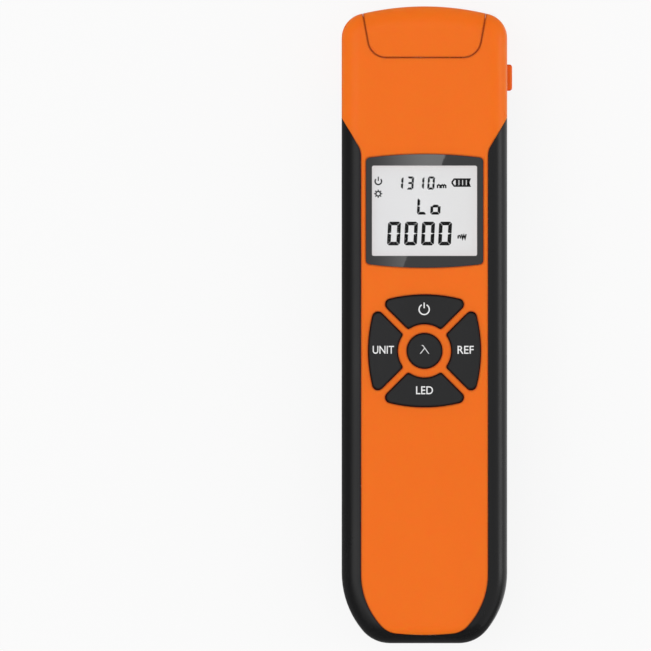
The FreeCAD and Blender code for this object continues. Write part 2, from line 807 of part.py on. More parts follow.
def make_display():
    """Window, its gasket, the liquid crystal glass, its light and the frame that holds them."""
    lens = Solid("display_lens")
    lens_pad(lens, "lens_fit", "body_depth - lens_fit / 2 - lens_thick", "body_depth - lens_fit / 2")
    ring = Solid("gasket_ring")
    lens_pad(ring, "2 * lens_fit", "body_depth - lens_recess",
             "body_depth - lens_fit / 2 - lens_thick")
    gasket = cut("lens_gasket", ring.body,
                 window_block("gasket_window", "lens_fit", "body_depth - lens_recess - 1",
                              "body_depth"))
    glass_span = ("-glass_half", "glass_half")
    tall_span = ("display_y - glass_rise", "display_y + glass_rise")
    glass = block("lcd_panel", glass_span, tall_span, ("light_top", "glass_top"))
    light = block("lcd_backlight", glass_span, tall_span, ("light_foot", "light_top"))
    frame = Solid("lcd_frame")
    outer = frame.sketch(level="board_top")
    margin = "frame_fit + frame_wall"
    draw_outline(outer, box_corners(f"glass_half + {margin}",
                                    f"display_y - glass_rise - ({margin})",
                                    f"display_y + glass_rise + {margin}"))
    frame.pad(outer, "glass_top - frame_fit - board_top")
    seat = frame.sketch(level="light_foot")
    draw_outline(seat, box_corners("glass_half + frame_fit",
                                   "display_y - glass_rise - frame_fit",
                                   "display_y + glass_rise + frame_fit"))
    frame.pocket(seat, "light_thick + glass_thick")
    well = frame.sketch(level="board_top")
    draw_outline(well, box_corners("glass_half - frame_ledge",
                                   "display_y - glass_rise + frame_ledge",
                                   "display_y + glass_rise - frame_ledge"))
    frame.pocket(well, "light_foot - board_top")
    return [lens.body, gasket, glass, light, frame.body]


# ---- front shell -----------------------------------------------------------------------------

def screw_spots():
    """Places of the four case screws."""
    return [(f"{side} * screw_x", f"{end} * screw_y") for side, end in FOUR_WAYS]


def boss_spots():
    """Places of the four board screws, clear of the display's frame at the head end."""
    return [(f"{side} * boss_x", "boss_high" if end > 0 else "boss_low")
            for side, end in FOUR_WAYS]


def upright_rods(label, spots, radius, low, high):
    """Upright round columns at the given places, as one body."""
    columns = Solid(label)
    sketch = columns.sketch(level=low)
    for spot in spots:
        draw_circle(sketch, spot, radius)
    columns.pad(sketch, f"({high}) - ({low})")
    return columns.body


def make_head_slabs():
    """Deck, walls round the cover's bay, hinge pocket and the thick wall behind the lanyard eye."""
    bay = block("bay_block", ("-cover_half - cover_gap - bay_wall", "cover_half + cover_gap + bay_wall"),
                ("deck - deck_wall", "body_length / 2 + 1"), ("0", "body_depth"))
    hinge = block("hinge_block", ("1 - body_width / 2", "body_width / 2 - 1"),
                  ("pivot_y - arm_depth / 2 - cover_gap - pocket_wall", "deck"),
                  ("0", "arm_top + pocket_wall"))
    eye = block("eye_block", ("body_width / 2 + eye_proud - eye_bar - eye_gap - eye_wall",
                              "body_width / 2 - 1"),
                ("eye_y - eye_length / 2 + eye_end - eye_wall",
                 "eye_y + eye_length / 2 - eye_end + eye_wall"),
                ("0", "eye_height + eye_scoop / 2 + eye_wall"))
    return [bay, hinge, eye]


def make_eye_bar():
    """The bar that bridges the lanyard scoop."""
    bar = Solid("eye_bar_form")
    sketch = bar.sketch(level="eye_height - eye_width / 2")
    outer = "body_width / 2 + eye_proud"
    inner = f"{outer} - eye_bar"
    low = "eye_y - eye_length / 2"
    high = "eye_y + eye_length / 2"
    draw_outline(sketch, [(inner, low), (outer, low), (outer, high), (inner, high)])
    bar.pad(sketch, "eye_width")
    outer_x = number(outer)
    bar.round_edges("eye_round", lambda edge: edge.BoundBox.XMin > outer_x - 0.01)
    return bar.body


def make_eye_scoop():
    """The hollow behind the lanyard bar."""
    outer = "(body_width / 2 + eye_proud - eye_bar)"
    reach = "(eye_length / 2 - eye_end)"
    return block("eye_scoop_form", (f"{outer} - eye_gap", f"{outer} + 2"),
                 (f"eye_y - {reach}", f"eye_y + {reach}"),
                 ("eye_height - eye_scoop / 2", "eye_height + eye_scoop / 2"))


def make_front_shell(case_form, case_wall):
    """The orange moulding: front panel, collar, head, deck, hinge knuckle and inner posts."""
    zone = make_front_zone("front_zone", "0")
    front_form = common("front_form", case_form, zone)
    walls = fuse("head_walls", [case_wall] + make_head_slabs())
    blank = common("front_blank", walls, front_form)
    scooped = cut("front_scooped", blank, make_eye_scoop())
    skirt_outer = make_panel("skirt_outer", "0", "front_inner - skirt_depth", "front_inner")
    skirt_inner = make_panel("skirt_inner", "-skirt_wall", "front_inner - skirt_depth - 1",
                             "front_inner + 1")
    skirt_ring = cut("skirt_ring", skirt_outer, skirt_inner)
    skirt_reach = block("skirt_reach", ("-panel_half", "panel_half"),
                        ("-body_length / 2", "body_length / 2 - skirt_end"),
                        ("front_inner - skirt_depth", "front_inner"))
    skirt = common("front_skirt", skirt_ring, skirt_reach)
    posts = upright_rods("case_posts", screw_spots(), "post_radius", "post_foot",
                      "front_inner + wall / 4")
    bosses = upright_rods("board_bosses", boss_spots(), "boss_radius", "board_top",
                       "front_inner + wall / 4")
    filled = fuse("front_filled", [scooped, skirt, posts, bosses, make_eye_bar()])
    return cut("front_shell", filled, fuse("front_cuts", make_front_cuts()))


def make_front_cuts():
    """Everything cut from the front shell once its walls and posts are in."""
    cuts = make_key_openings()
    cuts.append(make_cover_zone("bay_zone", "cover_gap", "arm_depth", "arm_top", "knuckle_round"))
    for side, name in ((1, "right"), (-1, "left")):
        inner = "(cover_half - arm_width - cover_gap)"
        outer = "(cover_half + cover_gap)"
        span = (inner, outer) if side > 0 else (f"-{outer}", f"-{inner}")
        cuts.append(block(f"arm_pocket_{name}", span,
                          ("pivot_y - arm_depth / 2 - cover_gap", "deck + 1"),
                          ("-1", "arm_top")))
    cuts.append(rod("shell_pin_bore", "x", ("-pin_half", "pivot_y", "pivot_z"),
                    "pin_diameter / 2 + pin_clearance / 4", "2 * pin_half"))
    lens = Solid("lens_recess_form")
    lens_pad(lens, "0", "body_depth - lens_recess", "body_depth + 1")
    cuts.append(lens.body)
    cuts.append(window_block("window_opening", "lens_fit", "front_inner - 1", "body_depth"))
    cuts.append(rod("port_opening", "y", ("0", "deck - deck_wall - 1", "port_z"),
                    "barrel_radius + slip", "deck_wall + 2"))
    cuts.append(rod("lamp_opening", "y", ("lamp_x", "deck - deck_wall - 1", "port_z"),
                    "lamp_radius + slip", "deck_wall + 2"))
    for side in (1, -1):
        name = "right" if side > 0 else "left"
        cuts.append(rod(f"port_pilot_{name}", "y",
                        (f"{side} * port_screw_circle", "deck - deck_wall - 1", "port_z"),
                        "port_screw_radius + pilot_clearance", "deck_wall + 2"))
    cuts.append(upright_rods("post_pilots", screw_spots(),
                          "screw_radius + pilot_clearance", "post_foot - 1",
                          "screw_well + screw_length + pilot_spare"))
    cuts.append(upright_rods("boss_pilots", boss_spots(),
                          "board_screw_radius + pilot_clearance", "board_top - 1",
                          "board_foot + board_screw_length + pilot_spare"))
    return cuts


# ---- rear shell ------------------------------------------------------------------------------

def make_rear_shell(case_wall):
    """The black moulding: back, sides, rims round the panel, screw bosses and battery fence."""
    open_wall = cut("rear_blank", case_wall, make_front_zone("rear_zone", "seam_gap"))
    bosses = upright_rods("rear_bosses", screw_spots(),
                       "screw_recess + fence_wall", "wall / 2", "post_foot")
    half = "(cell_half + cell_fit)"
    long = "(cell_length / 2 + cell_fit)"
    fence = Solid("battery_fence")
    sketch = fence.sketch(level="wall / 2")
    draw_outline(sketch, box_corners(f"{half} + fence_wall",
                                     f"cell_centre - {long} - fence_wall",
                                     f"cell_centre + {long} + fence_wall"))
    draw_outline(sketch, box_corners(half, f"cell_centre - {long}", f"cell_centre + {long}"))
    fence.pad(sketch, "wall / 2 + fence_height")
    filled = fuse("rear_filled", [open_wall, bosses, fence.body])
    wells = upright_rods("screw_wells", screw_spots(), "screw_recess", "-1",
                      "screw_well")
    holes = upright_rods("screw_holes", screw_spots(), "screw_radius + screw_play",
                      "screw_well - 1", "post_foot + 1")
    plate = Solid("plate_recess_form")
    plate_pad(plate, "lens_fit", "-1", "plate_recess")
    mouth = socket_block("socket_opening", "socket_margin", "-body_length / 2 - 1",
                         "-body_length / 2 + wall + 1")
    return cut("rear_shell", filled, fuse("rear_cuts", [wells, holes, plate.body, mouth]))


def plate_pad(solid, grow, low, high):
    """Raises the plaque's outline with its one cut corner."""
    sketch = solid.sketch(level=low)
    centre = "(body_length / 2 - plate_drop)"
    half = f"(plate_half + {grow})"
    foot = f"({centre} - plate_height / 2 - {grow})"
    top = f"({centre} + plate_height / 2 + {grow})"
    draw_outline(sketch, [(f"plate_corner - {half}", foot), (half, foot), (half, top),
                          (f"-{half}", top), (f"-{half}", f"{foot} + plate_corner")])
    solid.pad(sketch, f"({high}) - ({low})")
    half_x = number(half)
    foot_y = number(foot)
    top_y = number(top)
    solid.round_edges("plate_round", lambda edge: upright(edge) and (
        abs(edge.BoundBox.Center.y - top_y) < NEAR or
        (abs(edge.BoundBox.Center.y - foot_y) < NEAR and edge.BoundBox.Center.x > half_x - NEAR)))


def make_case_screws():
    """Four pan head screws, from the back into the posts."""
    screws = []
    for place, spot in enumerate(screw_spots()):
        head = rod(f"screw_{place}_head", "z", (*spot, "screw_well - screw_head_thick"),
                   "screw_head", "screw_head_thick")
        shank = rod(f"screw_{place}_shank", "z", (*spot, "screw_well"), "screw_radius",
                    "screw_length")
        screws.append(fuse(f"screw_{place}", [head, shank]))
    return group("case_screws", screws)


# ---- board, battery and socket ---------------------------------------------------------------

def make_main_board():
    """The circuit board, narrow at both ends to pass between the case posts."""
    board = Solid("main_board")
    sketch = board.sketch(level="board_foot")
    head = "(body_length / 2 - board_head_end)"
    toe = "(board_toe_end - body_length / 2)"
    wide = "board_half"
    neck = "neck_half"
    low_step = "(boss_low - boss_edge)"
    high_step = "(boss_high + boss_edge)"
    right = [(neck, toe), (neck, low_step), (wide, low_step), (wide, high_step),
             (neck, high_step), (neck, head)]
    left = [(f"-{x}", y) for x, y in reversed(right)]
    draw_outline(sketch, right + left)
    for spot in boss_spots():
        draw_circle(sketch, spot, "board_screw_radius + pilot_clearance")
    board.pad(sketch, "board_thick")
    return board.body


def make_board_screws():
    """Four screws that hold the board to the front shell's bosses."""
    screws = []
    for place, spot in enumerate(boss_spots()):
        head = rod(f"board_screw_{place}_head", "z", (*spot, "board_foot - board_screw_radius"),
                   "board_screw_head", "board_screw_radius")
        shank = rod(f"board_screw_{place}_shank", "z", (*spot, "board_foot"), "board_screw_radius",
                    "board_screw_length")
        screws.append(fuse(f"board_screw_{place}", [head, shank]))
    return group("board_screws", screws)


def make_board_parts():
    """Controller chip and the battery's connector, under the board."""
    chip = block("controller_chip", ("-chip_size / 2", "chip_size / 2"),
                 ("display_y - chip_size / 2", "display_y + chip_size / 2"),
                 ("board_foot - chip_thick", "board_foot"))
    far = "(cell_centre - cell_length / 2 - cell_fit - fence_wall)"
    plug = block("battery_connector", ("-plug_width / 2", "plug_width / 2"),
                 (f"{far} - plug_length", far), ("board_foot - plug_depth", "board_foot"))
    return [chip, plug]


def make_battery():
    """Flat rechargeable cell on a foam pad."""
    width = ("-cell_half", "cell_half")
    length = ("cell_centre - cell_length / 2", "cell_centre + cell_length / 2")
    pad = block("battery_pad", width, length, ("wall", "wall + cell_pad"))
    cell = Solid("battery_cell")
    sketch = cell.sketch(level="wall + cell_pad")
    draw_outline(sketch, box_corners("cell_half", *length))
    cell.pad(sketch, "cell_depth")
    cell.round_edges("cell_depth / 4", upright)
    return [cell.body, pad]


def socket_block(label, margin, low, high):
    """A block round the charging socket's mouth."""
    half = f"socket_width / 2 + {margin}"
    return block(label, (f"-({half})", half), (low, high),
                 (f"board_foot - socket_depth - {margin}", f"board_foot + {margin}"))


def make_charging_socket():
    """The charging socket, a folded metal mouth under the board's end."""
    mouth = "(socket_recess - body_length / 2)"
    shell = socket_block("socket_shell", "0", mouth, f"{mouth} + socket_length")
    room = block("socket_room", ("socket_wall - socket_width / 2", "socket_width / 2 - socket_wall"),
                 (f"{mouth} - 1", f"{mouth} + socket_length - socket_wall"),
                 ("board_foot - socket_depth + socket_wall", "board_foot - socket_wall"))
    tongue = block("socket_tongue", ("-socket_width / 4", "socket_width / 4"),
                   (f"{mouth} + tongue_thick", f"{mouth} + socket_length - socket_wall / 2"),
                   ("board_foot - socket_depth / 2 - tongue_thick / 2",
                    "board_foot - socket_depth / 2 + tongue_thick / 2"))
    return fuse("charging_socket", [cut("socket_can", shell, room), tongue])


# ---- port, lamp, pad and pin -----------------------------------------------------------------

def make_port():
    """Screw-on fibre adaptor, its ferrule sleeve, screws and the photodetector behind it."""
    adaptor = Solid("port_adaptor_form")
    profile = adaptor.sketch("XZ_Plane", "-(deck)")
    draw_circle(profile, ("0", "port_z"), "flange_radius")
    flange = adaptor.pad(profile, "flange_thick")
    flange.Reversed = True
    outer = rod("adaptor_outer", "y", ("0", "deck - spigot_length", "port_z"),
                "barrel_radius", "spigot_length + barrel_length")
    solid = fuse("adaptor_solid", [adaptor.body, outer])
    cuts = [rod("adaptor_mouth", "y", ("0", "deck + barrel_floor", "port_z"),
                "barrel_bore", "barrel_length"),
            rod("adaptor_throat", "y", ("0", "deck - spigot_length - 1", "port_z"),
                "sleeve_radius + slip", "spigot_length + barrel_length"),
            rod("adaptor_seat", "y", ("0", "deck - spigot_length - 1", "port_z"),
                "detector_radius + slip", "detector_length + slip + 1"),
            block("adaptor_keyway", ("-keyway_width / 2", "keyway_width / 2"),
                  ("deck + barrel_length - keyway_depth", "deck + barrel_length + 1"),
                  ("port_z", "port_z + barrel_radius + 1"))]
    for side in (1, -1):
        name = "right" if side > 0 else "left"
        cuts.append(rod(f"adaptor_hole_{name}", "y",
                        (f"{side} * port_screw_circle", "deck - 1", "port_z"),
                        "port_screw_radius + pilot_clearance", "flange_thick + 2"))
    port = cut("port_adaptor", solid, fuse("adaptor_cuts", cuts))
    sleeve_foot = "(deck - spigot_length + detector_length + 2 * slip)"
    sleeve_length = f"(deck + sleeve_proud - {sleeve_foot})"
    tube = rod("sleeve_tube", "y", ("0", sleeve_foot, "port_z"), "sleeve_radius",
               sleeve_length)
    bore = rod("sleeve_bore", "y", ("0", f"{sleeve_foot} - 1", "port_z"), "ferrule_radius",
               f"{sleeve_length} + 2")
    sleeve = cut("ferrule_sleeve", tube, bore)
    screws = []
    for side in (1, -1):
        name = "right" if side > 0 else "left"
        spot = f"{side} * port_screw_circle"
        head = rod(f"port_screw_{name}_head", "y", (spot, "deck + flange_thick", "port_z"),
                   "port_screw_head", "port_screw_radius")
        shank = rod(f"port_screw_{name}_shank", "y", (spot, "deck - deck_wall", "port_z"),
                    "port_screw_radius", "deck_wall + flange_thick")
        screws.append(fuse(f"port_screw_{name}", [head, shank]))
    return [port, sleeve, group("adaptor_screws", screws), make_photodetector()]


def make_photodetector():
    """The detector can, pressed in behind the sleeve, with its three leads."""
    back = "(deck - spigot_length)"
    can = rod("detector_can", "y", ("0", back, "port_z"), "detector_radius",
              "detector_length")
    rim = rod("detector_flange", "y", ("0", f"{back} - rim_thick", "port_z"), "detector_rim",
              "rim_thick")
    leads = []
    for place, turn in enumerate((30, 150, 270)):
        spot = (f"lead_circle * cos({turn})", f"{back} - rim_thick - lead_length",
                f"port_z + lead_circle * sin({turn})")
        leads.append(rod(f"detector_lead_{place}", "y", spot, "lead_radius", "lead_length"))
    return fuse("photodetector", [can, rim] + leads)


def make_torch_lamp():
    """The torch lamp beside the port, with its leads to the board."""
    rim = rod("lamp_foot", "y", ("lamp_x", "deck - deck_wall - rim_thick", "port_z"),
              "lamp_radius + lamp_rim", "rim_thick")
    body = rod("lamp_body", "y", ("lamp_x", "deck - deck_wall", "port_z"),
               "lamp_radius", "deck_wall + lamp_proud - lamp_radius")
    dome = DOC.addObject("Part::Sphere", "lamp_dome")
    dome.setExpression("Radius", full("lamp_radius"))
    for axis, place in zip("xyz", ("lamp_x", "deck + lamp_proud - lamp_radius",
                                   "port_z")):
        dome.setExpression(f"Placement.Base.{axis}", full(place))
    leads = []
    for side in (1, -1):
        name = "right" if side > 0 else "left"
        leads.append(rod(f"lamp_lead_{name}", "y",
                         (f"lamp_x + {side} * lamp_lead_spread",
                          "deck - deck_wall - rim_thick - lead_length",
                          "board_foot - lead_radius - slip"), "lead_radius", "lead_length"))
    return fuse("torch_lamp", [rim, body, dome] + leads)


def make_cover_pad(hollow_form):
    """The soft disc in the cover that closes the port."""
    disc = rod("pad_disc", "y", ("0", "deck + barrel_length + pad_gap", "port_z"), "pad_radius",
               "flap_height")
    return common("cover_pad", disc, hollow_form)


def make_hinge_pin():
    """The steel pin through both arms and the knuckle."""
    return rod("hinge_pin", "x", ("-pin_half", "pivot_y", "pivot_z"), "pin_diameter / 2",
               "2 * pin_half")


# ---- the whole meter -------------------------------------------------------------------------

def build_all():
    """Makes every sub-part and gives the list of nodes."""
    case_form = make_case_form("case_form", "0")
    hollow_form = make_case_form("hollow_form", "wall")
    case_wall = cut("case_wall", case_form, hollow_form)
    nodes = [make_front_shell(case_form, case_wall), make_rear_shell(case_wall),
             make_dust_cover(case_form, hollow_form), make_hinge_pin()]
    nodes += make_display()
    for label, quarter in (("power_key", 0), ("unit_key", 1), ("lamp_key", 2), ("ref_key", 3)):
        nodes.append(make_fan_key(label, quarter))
    nodes += [make_centre_key(), make_keypad_mat(), make_key_switches(), make_main_board(),
              make_board_screws()]
    nodes += make_board_parts()
    nodes += make_battery()
    nodes.append(make_charging_socket())
    nodes += make_port()
    plate = Solid("label_plate")
    plate_pad(plate, "0", "plate_recess - plate_thick", "plate_recess")
    nodes += [make_cover_pad(hollow_form), make_torch_lamp(), make_case_screws(), plate.body]
    DOC.recompute()
    return nodes


def check_all(nodes):
    """Stops the build if any feature failed or any node's shape is bad."""
    for item in DOC.Objects:
        if "Invalid" in item.State or "Error" in item.State:
            raise ValueError(f"{item.Label} did not compute: {item.State}")
    for node in nodes:
        if node.Shape.isNull() or not node.Shape.isValid() or node.Shape.Volume <= 0:
            raise ValueError(f"{node.Label} has no sound shape")


def write_all(nodes):
    """Writes each node's shape to its own file."""
    os.makedirs("parts", exist_ok=True)
    for node in nodes:
        node.Shape.exportStep(f"parts/{node.Label}.step")
        box = node.Shape.BoundBox
        print(f"{node.Label:18} {len(node.Shape.Solids)} solid(s) {node.Shape.Volume:9.1f} mm3 "
              f"x {box.XMin:.2f}..{box.XMax:.2f} y {box.YMin:.2f}..{box.YMax:.2f} "
              f"z {box.ZMin:.2f}..{box.ZMax:.2f}")


def main():
    """Builds, checks and writes the meter."""
    nodes = build_all()
    check_all(nodes)
    write_all(nodes)


main()
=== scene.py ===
"""Looks of a handheld optical power meter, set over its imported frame.

The meter lies on its back: +X is to the right of its front face, +Y runs to the optical port at
its head, and +Z comes out of the front face. Lengths are millimetres, apart from those of the
studio's lamps, sheets and camera, which are metres.
"""

import json
import logging
import math
from dataclasses import dataclass, field
from enum import Enum

import bmesh
import bpy
from mathutils import Matrix, Vector

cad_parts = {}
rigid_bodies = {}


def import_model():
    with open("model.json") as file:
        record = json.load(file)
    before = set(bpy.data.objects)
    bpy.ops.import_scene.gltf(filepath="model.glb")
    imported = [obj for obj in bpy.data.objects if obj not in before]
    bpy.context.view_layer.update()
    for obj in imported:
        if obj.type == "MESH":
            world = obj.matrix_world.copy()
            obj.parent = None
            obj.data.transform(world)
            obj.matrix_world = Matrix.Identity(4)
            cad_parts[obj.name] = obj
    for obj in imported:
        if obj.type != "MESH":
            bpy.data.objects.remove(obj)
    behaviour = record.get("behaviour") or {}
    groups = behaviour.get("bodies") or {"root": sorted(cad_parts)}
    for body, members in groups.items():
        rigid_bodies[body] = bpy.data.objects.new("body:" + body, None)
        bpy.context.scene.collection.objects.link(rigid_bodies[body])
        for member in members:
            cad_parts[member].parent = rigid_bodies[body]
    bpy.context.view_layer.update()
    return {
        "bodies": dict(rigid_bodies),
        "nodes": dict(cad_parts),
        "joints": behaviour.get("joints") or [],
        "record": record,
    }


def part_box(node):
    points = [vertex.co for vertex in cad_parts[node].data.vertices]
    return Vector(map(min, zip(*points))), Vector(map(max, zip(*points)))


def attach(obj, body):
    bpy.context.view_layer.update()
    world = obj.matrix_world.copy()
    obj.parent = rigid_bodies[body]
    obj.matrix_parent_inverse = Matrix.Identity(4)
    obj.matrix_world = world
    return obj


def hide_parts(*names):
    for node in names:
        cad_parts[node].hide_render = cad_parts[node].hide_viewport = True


LOG = logging.getLogger("power_meter")
MM = 0.001
SMOOTH_BELOW = 30.0
MITRE_LIMIT = 0.3
Colour = tuple[float, float, float]
Spot = tuple[float, float]
Outline = list[Spot]
FRAME: dict = {}


def linear(red: int, green: int, blue: int) -> Colour:
    """Turns a display colour of 0 to 255 into the linear one that shaders use.

    Args:
        red: Red part.
        green: Green part.
        blue: Blue part.

    Returns:
        The linear colour.
    """
    parts = [part / 255 for part in (red, green, blue)]
    return tuple(part / 12.92 if part <= 0.04045 else ((part + 0.055) / 1.055) ** 2.4
                 for part in parts)


# ---- shader maths ----------------------------------------------------------------------------

class Value:
    """A number that changes over a surface; arithmetic on it adds Math nodes."""

    def __init__(self, work: "NodeWork", socket: bpy.types.NodeSocket) -> None:
        """Keeps the node work and the socket that carries the number."""
        self.work = work
        self.socket = socket

    def _math(self, operation: str, *numbers: "Value | float") -> "Value":
        """Adds one Math node on the given numbers."""
        node = self.work.node("ShaderNodeMath", {"operation": operation}, dict(enumerate(numbers)))
        return Value(self.work, node.outputs[0])

    def __add__(self, other: "Value | float") -> "Value":
        """Sum."""
        return self._math("ADD", self, other)

    __radd__ = __add__

    def __sub__(self, other: "Value | float") -> "Value":
        """Difference."""
        return self._math("SUBTRACT", self, other)

    def __rsub__(self, other: float) -> "Value":
        """Difference with the number on the left."""
        return self._math("SUBTRACT", other, self)

    def __mul__(self, other: "Value | float") -> "Value":
        """Product."""
        return self._math("MULTIPLY", self, other)

    __rmul__ = __mul__

    def __truediv__(self, other: "Value | float") -> "Value":
        """Quotient."""
        return self._math("DIVIDE", self, other)

    def __abs__(self) -> "Value":
        """Size without sign."""
        return self._math("ABSOLUTE", self)

    def most(self, other: "Value | float") -> "Value":
        """The larger of two numbers."""
        return self._math("MAXIMUM", self, other)

    def root(self) -> "Value":
        """Square root."""
        return self._math("SQRT", self)

    def rise(self, low: float, high: float) -> "Value":
        """Goes smoothly from 0 at low to 1 at high.

        Args:
            low: Number at which the result is 0.
            high: Number at which the result is 1.

        Returns:
            The eased number.
        """
        node = self.work.node("ShaderNodeMapRange", {"interpolation_type": "SMOOTHSTEP"},
                              {"Value": self, "From Min": low, "From Max": high})
        return Value(self.work, node.outputs[0])


class Place:
    """A point on the surface, in millimetres; its methods add Vector Math nodes."""

    def __init__(self, work: "NodeWork", socket: bpy.types.NodeSocket) -> None:
        """Keeps the node work and the socket that carries the point."""
        self.work = work
        self.socket = socket

    def scaled(self, across: float, along: float, up: float) -> "Place":
        """Stretches the pattern that is read here.

        Args:
            across: Factor for X.
            along: Factor for Y.
            up: Factor for Z.

        Returns:
            The point with each coordinate times its factor.
        """
        node = self.work.node("ShaderNodeVectorMath", {"operation": "MULTIPLY"},
                              {0: self, 1: (across, along, up)})
        return Place(self.work, node.outputs[0])

    def moved(self, across: float, along: float, up: float = 0.0) -> "Place":
        """Measures the point from another origin.

        Args:
            across: X of that origin.
            along: Y of that origin.
            up: Z of that origin.

        Returns:
            The point as seen from there.
        """
        node = self.work.node("ShaderNodeVectorMath", {"operation": "SUBTRACT"},
                              {0: self, 1: (across, along, up)})
        return Place(self.work, node.outputs[0])

    def parts(self) -> tuple[Value, Value, Value]:
        """The point's three coordinates."""
        node = self.work.node("ShaderNodeSeparateXYZ", {}, {0: self})
        return tuple(Value(self.work, socket) for socket in node.outputs)


class NodeWork:
    """The nodes of a material or of the room, while they are being made."""

    def __init__(self, tree: bpy.types.NodeTree) -> None:
        """Starts on an emptied tree."""
        self.tree = tree
        tree.nodes.clear()

    def node(self, kind: str, settings: dict[str, object] | None = None,
             inputs: dict[str | int, object] | None = None) -> bpy.types.Node:
        """Adds one node.

        Args:
            kind: The node's type name.
            settings: Its settings, which are set first.
            inputs: A value or a link for each socket, by name or number.

        Returns:
            The node.
        """
        node = self.tree.nodes.new(kind)
        for name, setting in (settings or {}).items():
            setattr(node, name, setting)
        for name, given in (inputs or {}).items():
            socket = node.inputs[name]
            source = given.outputs[0] if isinstance(given, bpy.types.Node) else given
            source = getattr(source, "socket", source)
            if isinstance(source, bpy.types.NodeSocket):
                self.tree.links.new(source, socket)
            elif socket.type == "RGBA":
                socket.default_value = (*source, 1.0)
            else:
                socket.default_value = source
        return node

    def blend(self, factor: Value | float, low: Colour | bpy.types.NodeSocket,
              high: Colour | bpy.types.NodeSocket) -> bpy.types.NodeSocket:
        """Mixes two colours.

        Args:
            factor: 0 gives the first colour and 1 the second.
            low: First colour, as numbers or a socket.
            high: Second colour, as numbers or a socket.

        Returns:
            The socket of the mixed colour.
        """
        node = self.node("ShaderNodeMix", {"data_type": "RGBA"}, {0: factor, 6: low, 7: high})
        return node.outputs[2]

    def given(self, kind: str, output: str) -> Value:
        """A number that the renderer gives.

        Args:
            kind: Type name of the node that has it.
            output: The output's name.

        Returns:
            The number.
        """
        return Value(self, self.node(kind).outputs[output])

    def shows_background(self) -> Value:
        """Tells the rays that show the background itself.

        Returns:
            1 for camera, glossy and transmission rays, and 0 for the others.
        """
        camera, glossy, through = (self.given("ShaderNodeLightPath", f"Is {ray} Ray")
                                   for ray in ("Camera", "Glossy", "Transmission"))
        return camera.most(glossy).most(through)


class Shader(NodeWork):
    """A material's nodes while they are being made."""

    def __init__(self, name: str) -> None:
        """Starts an empty material.

        Args:
            name: The material's name.
        """
        self.material = bpy.data.materials.new(name)
        self.material.use_nodes = True
        super().__init__(self.material.node_tree)

    def place(self) -> Place:
        """The surface point in the part's own frame, in millimetres."""
        point = self.node("ShaderNodeTexCoord")
        return Place(self, point.outputs["Object"]).scaled(1 / MM, 1 / MM, 1 / MM)

    def noise(self, place: Place, width: float, detail: float = 2.0,
              roughness: float = 0.5) -> Value:
        """Cloudy noise.

        Args:
            place: Where it is read.
            width: Width of one cloud, in millimetres.
            detail: How many finer layers it has.
            roughness: How strong the finer layers are.

        Returns:
            A number about 0.5.
        """
        node = self.node("ShaderNodeTexNoise", {"noise_dimensions": "3D"},
                         {"Vector": place, "Scale": 1 / width, "Detail": detail,
                          "Roughness": roughness})
        return Value(self, node.outputs["Fac"])

    def cells(self, place: Place, width: float, feature: str = "F1") -> Value:
        """A pattern of cells.

        Args:
            place: Where it is read.
            width: Width of one cell, in millimetres.
            feature: What the distance is measured to, as the node names it.

        Returns:
            The distance, as a share of the width.
        """
        node = self.node("ShaderNodeTexVoronoi", {"feature": feature},
                         {"Vector": place, "Scale": 1 / width})
        return Value(self, node.outputs["Distance"])

    def edges(self, reach: float) -> Value:
        """How near a point lies to an outer edge of its own piece.

        Args:
            reach: How far from the edge it is felt, in millimetres.

        Returns:
            0 away from edges, and about 0.5 on one.
        """
        node = self.node("ShaderNodeAmbientOcclusion",
                         {"inside": True, "only_local": True, "samples": 6},
                         {"Distance": reach * MM})
        return 1.0 - Value(self, node.outputs["AO"])

    def bump(self, height: Value, relief: float) -> bpy.types.NodeSocket:
        """Turns a height of 0 to 1 into a surface normal.

        Args:
            height: The height pattern.
            relief: Its full height, in millimetres.

        Returns:
            The socket of the normal.
        """
        inputs = {"Height": height, "Distance": relief * MM, "Strength": 1.0}
        return self.node("ShaderNodeBump", {}, inputs).outputs[0]

    def ended(self, shader: bpy.types.Node) -> bpy.types.Material:
        """Ends the material with a shader node.

        Args:
            shader: The node that the surface shows.

        Returns:
            The finished material.
        """
        self.node("ShaderNodeOutputMaterial", {}, {"Surface": shader})
        return self.material

    def surface(self, **inputs: object) -> bpy.types.Material:
        """Ends the material with one Principled shader.

        Args:
            inputs: Its sockets, with underscores for the spaces in their names.

        Returns:
            The finished material.
        """
        named = {name.replace("_", " "): given for name, given in inputs.items()}
        return self.ended(self.node("ShaderNodeBsdfPrincipled", {}, named))


def shade(colour: Colour, factor: float) -> Colour:
    """A colour made lighter or darker by a factor."""
    return tuple(min(part * factor, 1.0) for part in colour)


# ---- finishes --------------------------------------------------------------------------------

